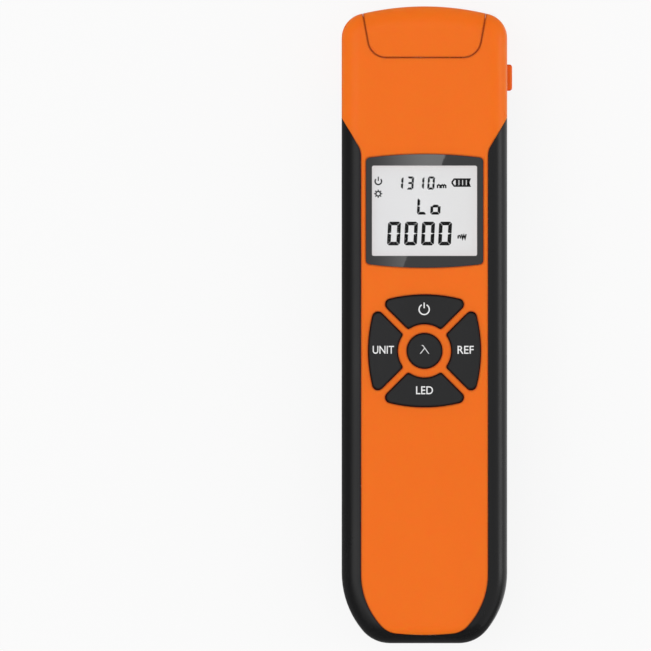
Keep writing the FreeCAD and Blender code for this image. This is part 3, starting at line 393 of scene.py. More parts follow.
@dataclass(frozen=True)
class Moulding:
    """Injection moulded plastic with a fine spark-eroded grain and gloss worn in by handling."""

    name: str
    colour: Colour
    roughness: float = 0.42
    grain: float = 0.22
    relief: float = 0.004
    drift: float = 0.05
    rub: float = 0.10
    specular: float = 0.5
    # Painted shade: how strongly, how far in, over what spread and in which colour the edges are
    # darkened.
    painted_edge_shade: float = 0.0
    edge_shade_reach: float = 0.4
    edge_shade_colour: Colour = linear(12, 10, 9)
    edge_shade_spread: Spot = (0.02, 0.42)
    bleed: float = 0.0
    bleed_depth: Colour = (1.6, 0.40, 0.06)
    flow: float = 16.0
    speck: float = 0.6
    handled: float = 34.0
    scratch: float = 0.35

    def make(self) -> bpy.types.Material:
        """Builds the plastic: its grain, slow drift of tone, rubbed gloss and painted shade along
        its edges.

        Returns:
            The material.
        """
        shader = Shader(self.name)
        place = shader.place()
        grain = shader.noise(place, self.grain, detail=3.0, roughness=0.6)
        pits = shader.cells(place, self.grain * 1.7)
        flow = shader.noise(place.scaled(1.0, 0.35, 1.0), self.flow, detail=3.0, roughness=0.55)
        speck = shader.noise(place, self.speck)
        handling = shader.noise(place.scaled(1.0, 0.5, 1.0), self.handled, detail=4.0,
                                roughness=0.6).rise(0.38, 0.66)
        hairline = shader.noise(place.scaled(1.0, 0.06, 1.0), self.scratch).rise(0.66, 0.74)
        tone = flow * 0.7 + speck * 0.3
        base = shader.blend(tone.rise(0.25, 0.75), shade(self.colour, 1 - self.drift),
                            shade(self.colour, 1 + self.drift))
        # Painted shade: the colour darkens near the piece's edges, standing in for the shade in
        # its seams and round the keys.
        if self.painted_edge_shade:
            edge_shade_mask = shader.edges(self.edge_shade_reach).rise(*self.edge_shade_spread)
            base = shader.blend(edge_shade_mask * self.painted_edge_shade, base, self.edge_shade_colour)
        roughness = (self.roughness + (grain - 0.5) * 0.08 - handling * self.rub
                     + hairline * 0.05)
        relief = shader.bump(grain * 0.7 + pits * 0.3, self.relief)
        return shader.surface(Base_Color=base, Roughness=roughness, Normal=relief,
                              Specular_IOR_Level=self.specular,
                              Subsurface_Weight=self.bleed, Subsurface_Scale=MM,
                              Subsurface_Radius=self.bleed_depth)


@dataclass(frozen=True)
class Metal:
    """Plated or bare metal with fine turning or rolling marks."""

    name: str
    colour: Colour
    roughness: float = 0.25
    stretch: tuple[float, float, float] = (1.0, 1.0, 8.0)
    mark: float = 0.48
    relief: float = 0.002
    tarnish: float = 0.72

    def make(self) -> bpy.types.Material:
        """Builds the metal: its turning marks, smudges and a little tarnish.

        Returns:
            The material.
        """
        shader = Shader(self.name)
        place = shader.place()
        marks = shader.noise(place.scaled(*self.stretch), self.mark, detail=4.0, roughness=0.65)
        smudge = shader.noise(place, 2.5, detail=3.0, roughness=0.6)
        tarnish = shader.noise(place, 0.9, detail=4.0, roughness=0.7).rise(0.5, 0.8)
        base = shader.blend(tarnish * 0.35, self.colour, shade(self.colour, self.tarnish))
        roughness = self.roughness + (smudge - 0.5) * 0.16 + (marks - 0.5) * 0.12
        return shader.surface(Base_Color=base, Metallic=1.0, Roughness=roughness,
                              Normal=shader.bump(marks, self.relief))


@dataclass(frozen=True)
class Print:
    """Screen-printed ink or a dark display segment, a little uneven at close range."""

    name: str
    colour: Colour
    roughness: float = 0.5
    uneven: float = 0.06
    specular: float = 0.5
    screen: float = 0.09
    relief: float = 0.002

    def make(self) -> bpy.types.Material:
        """Builds the ink, with the printing screen's mesh in it.

        Returns:
            The material.
        """
        shader = Shader(self.name)
        place = shader.place()
        mesh_mark = shader.cells(place, self.screen)
        cloud = shader.noise(place, 1.1, detail=3.0, roughness=0.6)
        base = shader.blend(cloud.rise(0.3, 0.7), shade(self.colour, 1 - self.uneven),
                            shade(self.colour, 1 + self.uneven))
        return shader.surface(Base_Color=base, Roughness=self.roughness + (cloud - 0.5) * 0.1,
                              Specular_IOR_Level=self.specular,
                              Normal=shader.bump(mesh_mark, self.relief))


@dataclass(frozen=True)
class Window:
    """Clear acrylic, printed dark from behind all round the display's opening."""

    name: str
    centre: Spot
    half: Spot
    clear: float
    corner: float = 0.5
    soft: float = 0.03
    border: Colour = (0.014, 0.014, 0.015)
    polish: float = 0.003
    relief: float = 0.0001

    def make(self) -> bpy.types.Material:
        """Builds the acrylic, clear inside the opening and dark outside it.

        Returns:
            The material.
        """
        shader = Shader(self.name)
        place = shader.place()
        across, along, _ = place.moved(*self.centre).parts()
        over_x = (abs(across) - (self.half[0] - self.corner)).most(0.0)
        over_y = (abs(along) - (self.half[1] - self.corner)).most(0.0)
        past_edge = (over_x * over_x + over_y * over_y).root() - self.corner
        outside = past_edge.rise(-self.soft, self.soft)
        wipe = shader.noise(place.scaled(0.3, 1.0, 1.0), 3.0, detail=4.0, roughness=0.6)
        dust = shader.cells(place, 1.4).rise(0.06, 0.02)
        ink = shader.noise(place, 0.5, detail=3.0, roughness=0.6)
        base = shader.blend(ink, shade(self.border, 0.85), shade(self.border, 1.15))
        alpha = outside * (1.0 - self.clear) + self.clear + dust * 0.05
        return shader.surface(Base_Color=base, Roughness=self.polish + wipe * 0.004,
                              Alpha=alpha, IOR=1.49, Normal=shader.bump(wipe, self.relief))


@dataclass(frozen=True)
class DisplayGlass:
    """Liquid crystal glass: a pale field that glows with painted light, with fine fibres and
    spacer dots.
    """

    name: str
    left: Colour
    right: Colour
    half_width: float
    glow: float
    mirror: float = 0.45
    dark_fibre: float = 0.3
    relief: float = 0.0006

    def make(self) -> bpy.types.Material:
        """Builds the glass, whose field glows with painted light a hair paler from left to right,
        and whose own gloss is dim.

        Returns:
            The material.
        """
        shader = Shader(self.name)
        place = shader.place()
        across, _, _ = place.parts()
        sweep = (across + self.half_width) / (2 * self.half_width)
        fibre = shader.noise(place.scaled(1.0, 0.12, 1.0), 0.18, detail=3.0, roughness=0.6)
        spacer = shader.cells(place, 0.45).rise(0.10, 0.04)
        cloud = shader.noise(place, 9.0)
        # Painted light: the field grows a hair paler from left to right, and the glow below lifts
        # it to its lit brightness; the glass is no lamp.
        factor = (sweep + (cloud - 0.5) * 0.12).rise(-0.1, 1.1)
        tone = shader.blend(factor, self.left, self.right)
        speckled = shader.blend(spacer * 0.10 + (fibre - 0.5) * 0.05, tone,
                                shade(self.left, 0.6))
        dim = shader.blend(fibre * 0.1, shade(self.left, self.mirror),
                           shade(self.left, self.dark_fibre))
        # The emission is painted light that stands in for the light on the recessed field.
        return shader.surface(Base_Color=dim, Roughness=0.28 + fibre * 0.1,
                              Emission_Color=speckled, Emission_Strength=self.glow,
                              Normal=shader.bump(fibre, self.relief))


@dataclass(frozen=True)
class Laminate:
    """Green solder mask over copper tracks on a glass-fibre board."""

    name: str
    mask: Colour = (0.010, 0.085, 0.030)
    track: Colour = (0.030, 0.170, 0.055)
    via: Colour = (0.62, 0.60, 0.55)
    relief: float = 0.03

    def make(self) -> bpy.types.Material:
        """Builds the board: tracks, filled areas, vias and the weave of the glass.

        Returns:
            The material.
        """
        shader = Shader(self.name)
        place = shader.place()
        brick = shader.node("ShaderNodeTexBrick", {"offset": 0.5, "squash": 1.0},
                            {"Vector": place.scaled(1.0, 1.0, 0.0), "Scale": 0.16,
                             "Mortar Size": 0.035, "Mortar Smooth": 0.1})
        tracks = Value(shader, brick.outputs["Fac"])
        fill = shader.cells(place.scaled(1.0, 1.0, 0.0), 7.0, "DISTANCE_TO_EDGE").rise(0.05, 0.06)
        vias = shader.cells(place.scaled(1.0, 1.0, 0.0), 2.6).rise(0.13, 0.10)
        weave = shader.noise(place.scaled(1.0, 1.0, 0.1), 0.4)
        copper = tracks.most(fill * 0.4)
        board = shader.blend(copper, self.mask, self.track)
        dotted = shader.blend(vias * 0.8, board, self.via)
        return shader.surface(Base_Color=dotted, Roughness=0.30 + weave * 0.15,
                              Normal=shader.bump(copper * 0.8 + weave * 0.2, self.relief))


@dataclass(frozen=True)
class Foam:
    """Open foam or felt with torn cells."""

    name: str
    colour: Colour
    cell: float = 0.35
    relief: float = 0.12

    def make(self) -> bpy.types.Material:
        """Builds the foam, darker down in its cells, which is painted shade.

        Returns:
            The material.
        """
        shader = Shader(self.name)
        place = shader.place()
        cells = shader.cells(place, self.cell)
        fuzz = shader.noise(place, self.cell * 0.4, detail=3.0, roughness=0.7)
        # Painted shade: the colour darkens toward the middle of each cell, where the pits are.
        base = shader.blend(cells.rise(0.1, 0.6), shade(self.colour, 0.55), self.colour)
        return shader.surface(Base_Color=base, Roughness=0.88 + fuzz * 0.1,
                              Normal=shader.bump(cells * 0.7 + fuzz * 0.3, self.relief))


@dataclass(frozen=True)
class Milky:
    """Translucent resin, such as a light guide, a lamp or a silicone mat."""

    name: str
    colour: Colour
    clear: float = 0.0
    roughness: float = 0.3
    relief: float = 0.006

    def make(self) -> bpy.types.Material:
        """Builds the resin: slightly cloudy, with a faint pattern of dots.

        Returns:
            The material.
        """
        shader = Shader(self.name)
        place = shader.place()
        cloud = shader.noise(place, 2.2, detail=3.0)
        dots = shader.cells(place, 0.8).rise(0.25, 0.20)
        base = shader.blend(cloud * 0.5 + dots * 0.3, self.colour, shade(self.colour, 0.82))
        return shader.surface(Base_Color=base, Roughness=self.roughness + cloud * 0.1,
                              Transmission_Weight=self.clear, IOR=1.5,
                              Normal=shader.bump(dots * 0.5 + cloud * 0.5, self.relief))


@dataclass(frozen=True)
class Wrap:
    """Shrink film round the cell: creased, with a heat-sealed seam down its length."""

    name: str
    colour: Colour
    relief: float = 0.08

    def make(self) -> bpy.types.Material:
        """Builds the film: its creases and its seam.

        Returns:
            The material.
        """
        shader = Shader(self.name)
        place = shader.place()
        across, _, _ = place.parts()
        crease = shader.noise(place.scaled(1.0, 0.25, 1.0), 3.0, detail=5.0, roughness=0.65)
        seam = abs(across).rise(1.1, 0.8)
        base = shader.blend(seam * 0.5 + crease * 0.2, self.colour, shade(self.colour, 0.6))
        return shader.surface(Base_Color=base, Metallic=0.35, Roughness=0.26 + crease * 0.2,
                              Normal=shader.bump(crease + seam * 0.4, self.relief))


@dataclass(frozen=True)
class FloorPaper:
    """Pale paper that glows evenly where it is seen, apart from round the meter, where the glow is
    faded out by position: a painted soft shadow, through which the paper's real shadow shows.

    It is clear from below, and under the meter it lets the room light the meter's back.
    """

    name: str
    pale: Colour
    paper: Colour = (0.86, 0.86, 0.86)
    strength: float = 1.02
    lift: float = 0.90
    # Painted shadow: where the glow fades out round the meter, across, at the head and at the
    # foot.
    shadow_side: Spot = (17.6, 20.5)
    shadow_head: Spot = (82.0, 87.5)
    shadow_foot: Spot = (60.0, 66.0)
    under_side: Spot = (25.0, 26.0)
    under_end: Spot = (91.0, 92.0)

    def make(self) -> bpy.types.Material:
        """Builds the paper, its glow and the places where it is clear.

        Returns:
            The material.
        """
        shader = Shader(self.name)
        across, along, _ = shader.place().parts()
        # Painted shadow: the glow is faded out by position round the meter, so the paper's own
        # shaded colour shows there.
        beside = abs(across).rise(*self.shadow_side).most(along.rise(*self.shadow_head))
        beside = beside.most((0.0 - along).rise(*self.shadow_foot))
        paper = shader.node("ShaderNodeBsdfDiffuse", {}, {"Color": self.paper})
        glow = shader.node("ShaderNodeEmission", {},
                           {"Color": self.pale, "Strength": self.strength})
        lit = shader.node("ShaderNodeMixShader", {},
                          {0: shader.shows_background() * (beside * self.lift), 1: paper, 2: glow})
        below = shader.given("ShaderNodeNewGeometry", "Backfacing")
        camera_ray = shader.given("ShaderNodeLightPath", "Is Camera Ray")
        under = 1.0 - abs(across).rise(*self.under_side).most(abs(along).rise(*self.under_end))
        clear = shader.node("ShaderNodeBsdfTransparent")
        return shader.ended(shader.node("ShaderNodeMixShader", {},
                                        {0: below.most(under * (1.0 - camera_ray)), 1: lit,
                                         2: clear}))


@dataclass(frozen=True)
class CardGlow:
    """Light of the mirror card, which grows from its left edge to its right."""

    name: str
    spread: Spot = (-6.0, 32.0)
    dim: Colour = (0.95, 0.95, 0.95)
    bright: Colour = (3.85, 3.85, 3.85)

    def make(self) -> bpy.types.Material:
        """Builds the light.

        Returns:
            The material.
        """
        shader = Shader(self.name)
        across, _, _ = shader.place().parts()
        colour = shader.blend(across.rise(*self.spread), self.dim, self.bright)
        return shader.ended(shader.node("ShaderNodeEmission", {},
                                        {"Color": colour, "Strength": 1.0}))


@dataclass(frozen=True)
class DarkCloth:
    """Grey cloth of the boards that keep a rounding dark."""

    name: str
    low: Colour = (0.20, 0.20, 0.20)
    high: Colour = (0.30, 0.30, 0.30)

    def make(self) -> bpy.types.Material:
        """Builds the cloth.

        Returns:
            The material.
        """
        shader = Shader(self.name)
        cloth = shader.noise(shader.place(), 1.5)
        return shader.surface(Base_Color=shader.blend(cloth, self.low, self.high),
                              Roughness=0.9 + cloth * 0.1)


class Finishes(Enum):
    """Every finish of the meter, by the maker's plain name."""

    # The orange shell and cover darken along their edges: painted shade in the seams.
    ORANGE_SHELL = Moulding("orange_shell_finish", linear(247, 117, 15), 0.44, relief=0.003,
                            drift=0.018, rub=0.06, specular=0.18, painted_edge_shade=0.8, edge_shade_reach=0.5,
                            edge_shade_colour=linear(184, 58, 0), bleed=0.6)
    BLACK_SHELL = Moulding("black_shell_finish", linear(20, 20, 21), 0.34, grain=0.3,
                           relief=0.006, drift=0.10, specular=0.20)
    # The keys darken along their edges: painted shade round each key.
    KEY_CAP = Moulding("key_cap_finish", linear(36, 36, 37), 0.50, grain=0.16, relief=0.005,
                       drift=0.08, specular=0.15, painted_edge_shade=0.9, edge_shade_reach=0.5)
    HOLDER = Moulding("holder_finish", linear(228, 228, 224), 0.45, drift=0.03)
    SWITCH = Moulding("switch_finish", linear(30, 30, 32), 0.4, drift=0.06)
    CHIP = Moulding("chip_finish", linear(24, 24, 26), 0.55, grain=0.1, drift=0.08)
    PLUG = Moulding("plug_finish", linear(232, 230, 220), 0.4, drift=0.03)
    PLATE = Moulding("plate_finish", linear(56, 56, 58), 0.34, grain=0.5, relief=0.002, drift=0.10)
    SLEEVE = Moulding("sleeve_finish", linear(244, 243, 238), 0.12, grain=0.1, relief=0.0005,
                      drift=0.01)
    STEEL = Metal("steel_finish", (0.78, 0.78, 0.80), 0.20)
    PIN_STEEL = Metal("pin_steel_finish", (0.62, 0.62, 0.64), 0.24, stretch=(8.0, 1.0, 1.0))
    NICKEL = Metal("nickel_finish", (0.70, 0.68, 0.63), 0.22, stretch=(1.0, 8.0, 1.0))
    CAN = Metal("can_finish", (0.86, 0.66, 0.32), 0.2, stretch=(1.0, 8.0, 1.0))
    KEY_PRINT = Print("key_print_finish", linear(238, 238, 238))
    PLAQUE_PRINT = Print("plaque_print_finish", linear(176, 176, 176), 0.45)
    SEGMENT = Print("segment_finish", linear(10, 11, 12), 0.4, uneven=0.12, specular=0.1)
    ICON = Print("icon_finish", linear(30, 31, 33), 0.4, uneven=0.10, specular=0.1)
    GASKET = Foam("gasket_finish", linear(38, 38, 40), cell=0.2)
    FOAM = Foam("foam_finish", linear(52, 52, 54))
    LIGHT_GUIDE = Milky("light_guide_finish", linear(236, 238, 240), clear=0.4)
    MAT = Milky("mat_finish", linear(120, 120, 124), roughness=0.55)
    LAMP = Milky("lamp_finish", linear(240, 242, 244), clear=0.85, roughness=0.05)
    CELL = Wrap("cell_finish", linear(178, 180, 184))
    BOARD = Laminate("board_finish")

    def material(self) -> bpy.types.Material:
        """The finish's material, made when first asked for."""
        found = bpy.data.materials.get(self.value.name)
        return found or self.value.make()


# ---- mesh work -------------------------------------------------------------------------------

def put_on(finish: bpy.types.Material, piece: bpy.types.Object) -> None:
    """Gives every slot of a piece one material.

    Args:
        finish: The material.
        piece: The piece.
    """
    if not piece.material_slots:
        piece.data.materials.append(finish)
    for slot in piece.material_slots:
        slot.material = finish


def dress(finish: Finishes, *nodes: str) -> None:
    """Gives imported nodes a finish.

    Args:
        finish: The finish.
        nodes: Names of the nodes.
    """
    for name in nodes:
        put_on(finish.material(), FRAME["nodes"][name])
        LOG.info("node %s in %s", name, finish.value.name)


def add_piece(name: str, mesh: bpy.types.Mesh, body: str, finish: Finishes) -> bpy.types.Object:
    """Puts a new mesh in the scene, on a body, in a finish.

    Args:
        name: The piece's name.
        mesh: Its mesh, in metres in the part's frame.
        body: The body that it moves with.
        finish: Its finish.

    Returns:
        The new object.
    """
    piece = bpy.data.objects.new(name, mesh)
    bpy.context.scene.collection.objects.link(piece)
    put_on(finish.material(), piece)
    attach(piece, body)
    LOG.info("piece %s on %s", name, body)
    return piece


def ring(shape: bmesh.types.BMesh, radii: list[float], height: float) -> list[bmesh.types.BMVert]:
    """Adds one ring of points about the Z axis.

    Args:
        shape: The mesh that they are added to.
        radii: Radius of each point, in millimetres.
        height: Their height, in millimetres.

    Returns:
        The points.
    """
    step = 2 * math.pi / len(radii)
    return [shape.verts.new((radius * MM * math.cos(place * step),
                             radius * MM * math.sin(place * step), height * MM))
            for place, radius in enumerate(radii)]


def join_rings(shape: bmesh.types.BMesh, rings: list[list[bmesh.types.BMVert]]) -> None:
    """Adds the faces between each ring and the next.

    Args:
        shape: The mesh that holds the rings.
        rings: The rings in order; one of a single point closes the end that it stands at.
    """
    for low, high in zip(rings, rings[1:]):
        steps = max(len(low), len(high))
        for step in range(steps):
            after = (step + 1) % steps
            if len(low) == 1:
                shape.faces.new((low[0], high[step], high[after]))
            elif len(high) == 1:
                shape.faces.new((low[step], low[after], high[0]))
            else:
                shape.faces.new((low[step], low[after], high[after], high[step]))


def finished(shape: bmesh.types.BMesh, name: str,
             smooth_below: float = SMOOTH_BELOW) -> bpy.types.Mesh:
    """Turns a work mesh into a kept one.

    Args:
        shape: The work mesh, which is freed.
        name: The mesh's name.
        smooth_below: Edges that turn by less than this many degrees are smooth.

    Returns:
        The mesh.
    """
    bmesh.ops.recalc_face_normals(shape, faces=shape.faces)
    mesh = bpy.data.meshes.new(name)
    shape.to_mesh(mesh)
    shape.free()
    mesh.shade_smooth()
    mesh.set_sharp_from_angle(angle=math.radians(smooth_below))
    return mesh


def carved(mesh: bpy.types.Mesh, tool: bpy.types.Mesh) -> bpy.types.Mesh:
    """Cuts one closed mesh out of another.

    Args:
        mesh: The mesh that is cut.
        tool: The mesh that is taken out of it.

    Returns:
        The mesh that is left.
    """
    scene = bpy.context.scene.collection.objects
    solid = bpy.data.objects.new("carve_solid", mesh)
    cutter = bpy.data.objects.new("carve_tool", tool)
    scene.link(solid)
    scene.link(cutter)
    step = solid.modifiers.new("carve", "BOOLEAN")
    step.operation = "DIFFERENCE"
    step.solver = "EXACT"
    step.object = cutter
    graph = bpy.context.evaluated_depsgraph_get()
    left = bpy.data.meshes.new_from_object(solid.evaluated_get(graph))
    for spare in (solid, cutter):
        bpy.data.objects.remove(spare)
    left.set_sharp_from_angle(angle=math.radians(SMOOTH_BELOW))
    return left


@dataclass
class FlatWork:
    """Flat outlines that are raised together into one thin mesh."""

    low: float
    high: float
    outlines: list[Outline] = field(default_factory=list)

    def add(self, outline: Outline) -> None:
        """Adds one closed outline, in millimetres."""
        self.outlines.append(outline)

    def stroke(self, points: Outline, width: float, closed: bool = False) -> None:
        """Adds a line of even width with mitred corners.

        Args:
            points: The points on its middle.
            width: Its width.
            closed: Whether its end joins its start.
        """
        count = len(points)
        sides = []
        for place, point in enumerate(points):
            here = Vector(point)
            before = Vector(points[place - 1]) if place or closed else None
            after = Vector(points[(place + 1) % count]) if place < count - 1 or closed else None
            into = (here - before).normalized() if before is not None else None
            out = (after - here).normalized() if after is not None else None
            way = ((into or out) + (out or into)).normalized()
            normal = Vector((-way.y, way.x))
            edge = out or into
            reach = width / 2 / max(normal.dot(Vector((-edge.y, edge.x))), MITRE_LIMIT)
            sides.append((here + normal * reach, here - normal * reach))
        last = count if closed else count - 1
        for place in range(last):
            left, right = sides[place]
            next_left, next_right = sides[(place + 1) % count]
            self.add([tuple(left), tuple(right), tuple(next_right), tuple(next_left)])

    def arc(self, centre: Spot, radius: float, start: float, stop: float, width: float,
            steps: int = 32) -> None:
        """Adds a curved line of even width.

        Args:
            centre: Middle of the circle.
            radius: Its radius.
            start: Angle of the start, in degrees.
            stop: Angle of the end.
            width: Its width.
            steps: How many straight runs stand for it.
        """
        angles = [math.radians(start + (stop - start) * step / steps) for step in range(steps + 1)]
        self.stroke([(centre[0] + radius * math.cos(angle), centre[1] + radius * math.sin(angle))
                     for angle in angles], width)

    def words(self, text: str, centre: Spot, size: Spot, weight: float = 0.0) -> None:
        """Adds plain lettering, scaled to fill a given size.

        Args:
            text: The letters.
            centre: Middle of the lettering.
            size: Its width and height.
            weight: How much its strokes are thickened, as a share of its height.
        """
        curve = bpy.data.curves.new("lettering", "FONT")
        curve.body = text
        curve.size = size[1]
        curve.offset = weight * size[1]
        curve.resolution_u = 6
        holder = bpy.data.objects.new("lettering", curve)
        bpy.context.scene.collection.objects.link(holder)
        graph = bpy.context.evaluated_depsgraph_get()
        mesh = bpy.data.meshes.new_from_object(holder.evaluated_get(graph))
        spots = [vertex.co.copy() for vertex in mesh.vertices]
        low = Vector((min(spot.x for spot in spots), min(spot.y for spot in spots)))
        high = Vector((max(spot.x for spot in spots), max(spot.y for spot in spots)))
        span = high - low
        for face in mesh.polygons:
            self.add([(centre[0] + ((spots[index].x - low.x) / span.x - 0.5) * size[0],
                       centre[1] + ((spots[index].y - low.y) / span.y - 0.5) * size[1])
                      for index in face.vertices])
        bpy.data.objects.remove(holder)
        bpy.data.curves.remove(curve)
        bpy.data.meshes.remove(mesh)

    def raised(self, name: str) -> bpy.types.Mesh:
        """Makes the mesh of all outlines.

        Args:
            name: The mesh's name.

        Returns:
            The mesh.
        """
        shape = bmesh.new()
        for outline in self.outlines:
            foot = [shape.verts.new((x * MM, y * MM, self.low * MM)) for x, y in outline]
            top = [shape.verts.new((x * MM, y * MM, self.high * MM)) for x, y in outline]
            shape.faces.new(foot)
            shape.faces.new(top)
            for place in range(len(outline)):
                after = (place + 1) % len(outline)
                shape.faces.new((foot[place], foot[after], top[after], top[place]))
        return finished(shape, name)


# ---- display ---------------------------------------------------------------------------------

SEGMENTS = {"0": "abcdef", "1": "bc", "3": "abcdg", "L": "fed", "o": "cdeg"}
LETTERS = {
    "n": (0.75, [[(0, 0), (0, 1)], [(0, 0.7), (0.35, 1), (0.75, 0.75), (0.75, 0)]]),
    "m": (1.3, [[(0, 0), (0, 1)], [(0, 0.7), (0.3, 1), (0.65, 0.75), (0.65, 0)],
                [(0.65, 0.7), (0.95, 1), (1.3, 0.75), (1.3, 0)]]),
    "W": (1.5, [[(0, 1.45), (0.35, 0), (0.75, 1.1), (1.15, 0), (1.5, 1.45)]]),
}
LETTER_GAP = 0.35


@dataclass
class Numeral:
    """One seven-segment figure."""

    width: float
    height: float
    bar: float
    gap: float
    slant: float
    corner: float = 0.45

    def outlines(self, sign: str, left: float, foot: float) -> list[Outline]:
        """The lit segments of one sign.

        Args:
            sign: The sign, one of those in SEGMENTS.
            left: Its left end, at its foot.
            foot: Its lower end.

        Returns:
            One outline for each lit segment.
        """
        wide, tall, bar, gap = self.width, self.height, self.bar, self.gap
        half, cut = tall / 2, bar * self.corner
        level = [(gap + cut, tall), (wide - gap - cut, tall),
                 (wide - gap - cut / 2, tall - cut / 2), (wide - bar - gap * 0.2, tall - bar),
                 (bar + gap * 0.2, tall - bar), (gap + cut / 2, tall - cut / 2)]
        post = [(0.0, tall - gap - cut), (cut / 2, tall - gap - cut / 2),
                (bar, tall - bar - gap), (bar, half + gap + bar * 0.2),
                (bar * 0.35, half + gap * 0.5), (0.0, half + gap)]
        middle = [(bar * 0.5 + gap, half), (bar + gap, half + bar / 2),
                  (wide - bar - gap, half + bar / 2), (wide - bar * 0.5 - gap, half),
                  (wide - bar - gap, half - bar / 2), (bar + gap, half - bar / 2)]
        forms = {
            "a": level,
            "f": post,
            "g": middle,
            "d": [(x, tall - y) for x, y in level],
            "e": [(x, tall - y) for x, y in post],
            "b": [(wide - x, y) for x, y in post],
            "c": [(wide - x, tall - y) for x, y in post],
        }
        lean = math.tan(math.radians(self.slant))
        return [[(left + x + y * lean, foot + y) for x, y in forms[part]]
                for part in SEGMENTS[sign]]


@dataclass
class Row:
    """A row of figures on the display."""

    figure: Numeral
    signs: str
    left: float
    foot: float
    pitch: float

    def add_to(self, work: FlatWork) -> None:
        """Adds the lit segments of every figure.

        Args:
            work: The flat work that they are added to.
        """
        for place, sign in enumerate(self.signs):
            for outline in self.figure.outlines(sign, self.left + place * self.pitch, self.foot):
                work.add(outline)


@dataclass
class DisplayImage:
    """What the liquid crystal shows: figures, units and small signs, over the glass."""

    film: float = 0.03
    reading: Row = field(default_factory=lambda: Row(
        Numeral(3.6, 6.6, bar=1.02, gap=0.07, slant=3.0), "0000", -10.45, 22.05, 4.73))
    state: Row = field(default_factory=lambda: Row(
        Numeral(2.8, 4.75, bar=0.78, gap=0.08, slant=3.0), "Lo", -2.15, 30.6, 3.72))
    wavelength: Row = field(default_factory=lambda: Row(
        Numeral(1.98, 3.65, bar=0.60, gap=0.08, slant=4.0), "1310", -8.0, 37.55, 2.91))
    reading_unit: Spot = (9.35, 23.95)
    wavelength_unit: Spot = (3.62, 37.95)
    power: Spot = (-12.83, 39.85)
    light: Spot = (-12.86, 36.4)
    battery: Spot = (10.14, 39.5)
    battery_size: Spot = (4.85, 1.9)
    battery_bars: int = 4
    battery_pitch: float = 1.02

    def build(self) -> None:
        """Makes the dark figures and the greyer signs."""
        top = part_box("lcd_panel")[1].z / MM
        figures = FlatWork(top, top + self.film)
        self.reading.add_to(figures)
        self.state.add_to(figures)
        self._unit_sign(figures, "nW", self.reading_unit, height=0.85, width=0.40)
        add_piece("display_figures", figures.raised("display_figures"), "case", Finishes.SEGMENT)
        signs = FlatWork(top, top + self.film)
        self.wavelength.add_to(signs)
        self._unit_sign(signs, "nm", self.wavelength_unit, height=0.95, width=0.42)
        self._power_sign(signs, radius=0.9)
        self._light_sign(signs, radius=0.62, width=0.34)
        self._battery_sign(signs, width=0.48)
        add_piece("display_signs", signs.raised("display_signs"), "case", Finishes.ICON)

    def _unit_sign(self, work: FlatWork, letters: str, corner: Spot, height: float,
                   width: float) -> None:
        """Adds small letters of even strokes.

        Args:
            work: The flat work that they are added to.
            letters: The letters, each one of those in LETTERS.
            corner: Lower left corner of the first.
            height: Height of a small letter.
            width: Width of the strokes.
        """
        left = corner[0]
        for letter in letters:
            wide, strokes = LETTERS[letter]
            for points in strokes:
                work.stroke([(left + x * height, corner[1] + y * height) for x, y in points],
                            width)
            left += (wide + LETTER_GAP) * height

    def _power_sign(self, work: FlatWork, radius: float) -> None:
        """Adds a broken ring with an upright stroke in its gap.

        Args:
            work: The flat work that it is added to.
            radius: The ring's radius.
        """
        x, y = self.power
        work.arc(self.power, radius, start=138, stop=402, width=0.40)
        work.stroke([(x, y + 0.1), (x, y + radius * 1.45)], 0.32)

    def _light_sign(self, work: FlatWork, radius: float, width: float) -> None:
        """Adds a small ring with eight rays.

        Args:
            work: The flat work that it is added to.
            radius: The ring's radius.
            width: Width of the strokes.
        """
        centre = Vector(self.light)
        work.arc(self.light, radius, start=0, stop=360, width=width)
        for ray in range(8):
            angle = math.radians(45 * ray)
            way = Vector((math.cos(angle), math.sin(angle)))
            work.stroke([tuple(centre + way * radius * 1.2), tuple(centre + way * radius * 1.85)],
                        width)

    def _battery_sign(self, work: FlatWork, width: float) -> None:
        """Adds a cell with a pointed end, full of bars.

        Args:
            work: The flat work that it is added to.
            width: Width of its outline.
        """
        x, y = self.battery
        half_x, half_y = self.battery_size[0] / 2, self.battery_size[1] / 2
        left, right = x - half_x, x + half_x
        shoulder, point, notch = 0.55, 0.2, 0.35
        work.stroke([(right, y + half_y), (left + shoulder, y + half_y), (left, y + point),
                     (left, y - point), (left + shoulder, y - half_y), (right, y - half_y),
                     (right - notch, y)], width, closed=True)
        first, margin, bar_width = 1.35, 0.2, 0.8
        for bar in range(self.battery_bars):
            middle = left + first + bar * self.battery_pitch
            work.stroke([(middle, y - half_y + margin), (middle, y + half_y - margin)],
                        bar_width)


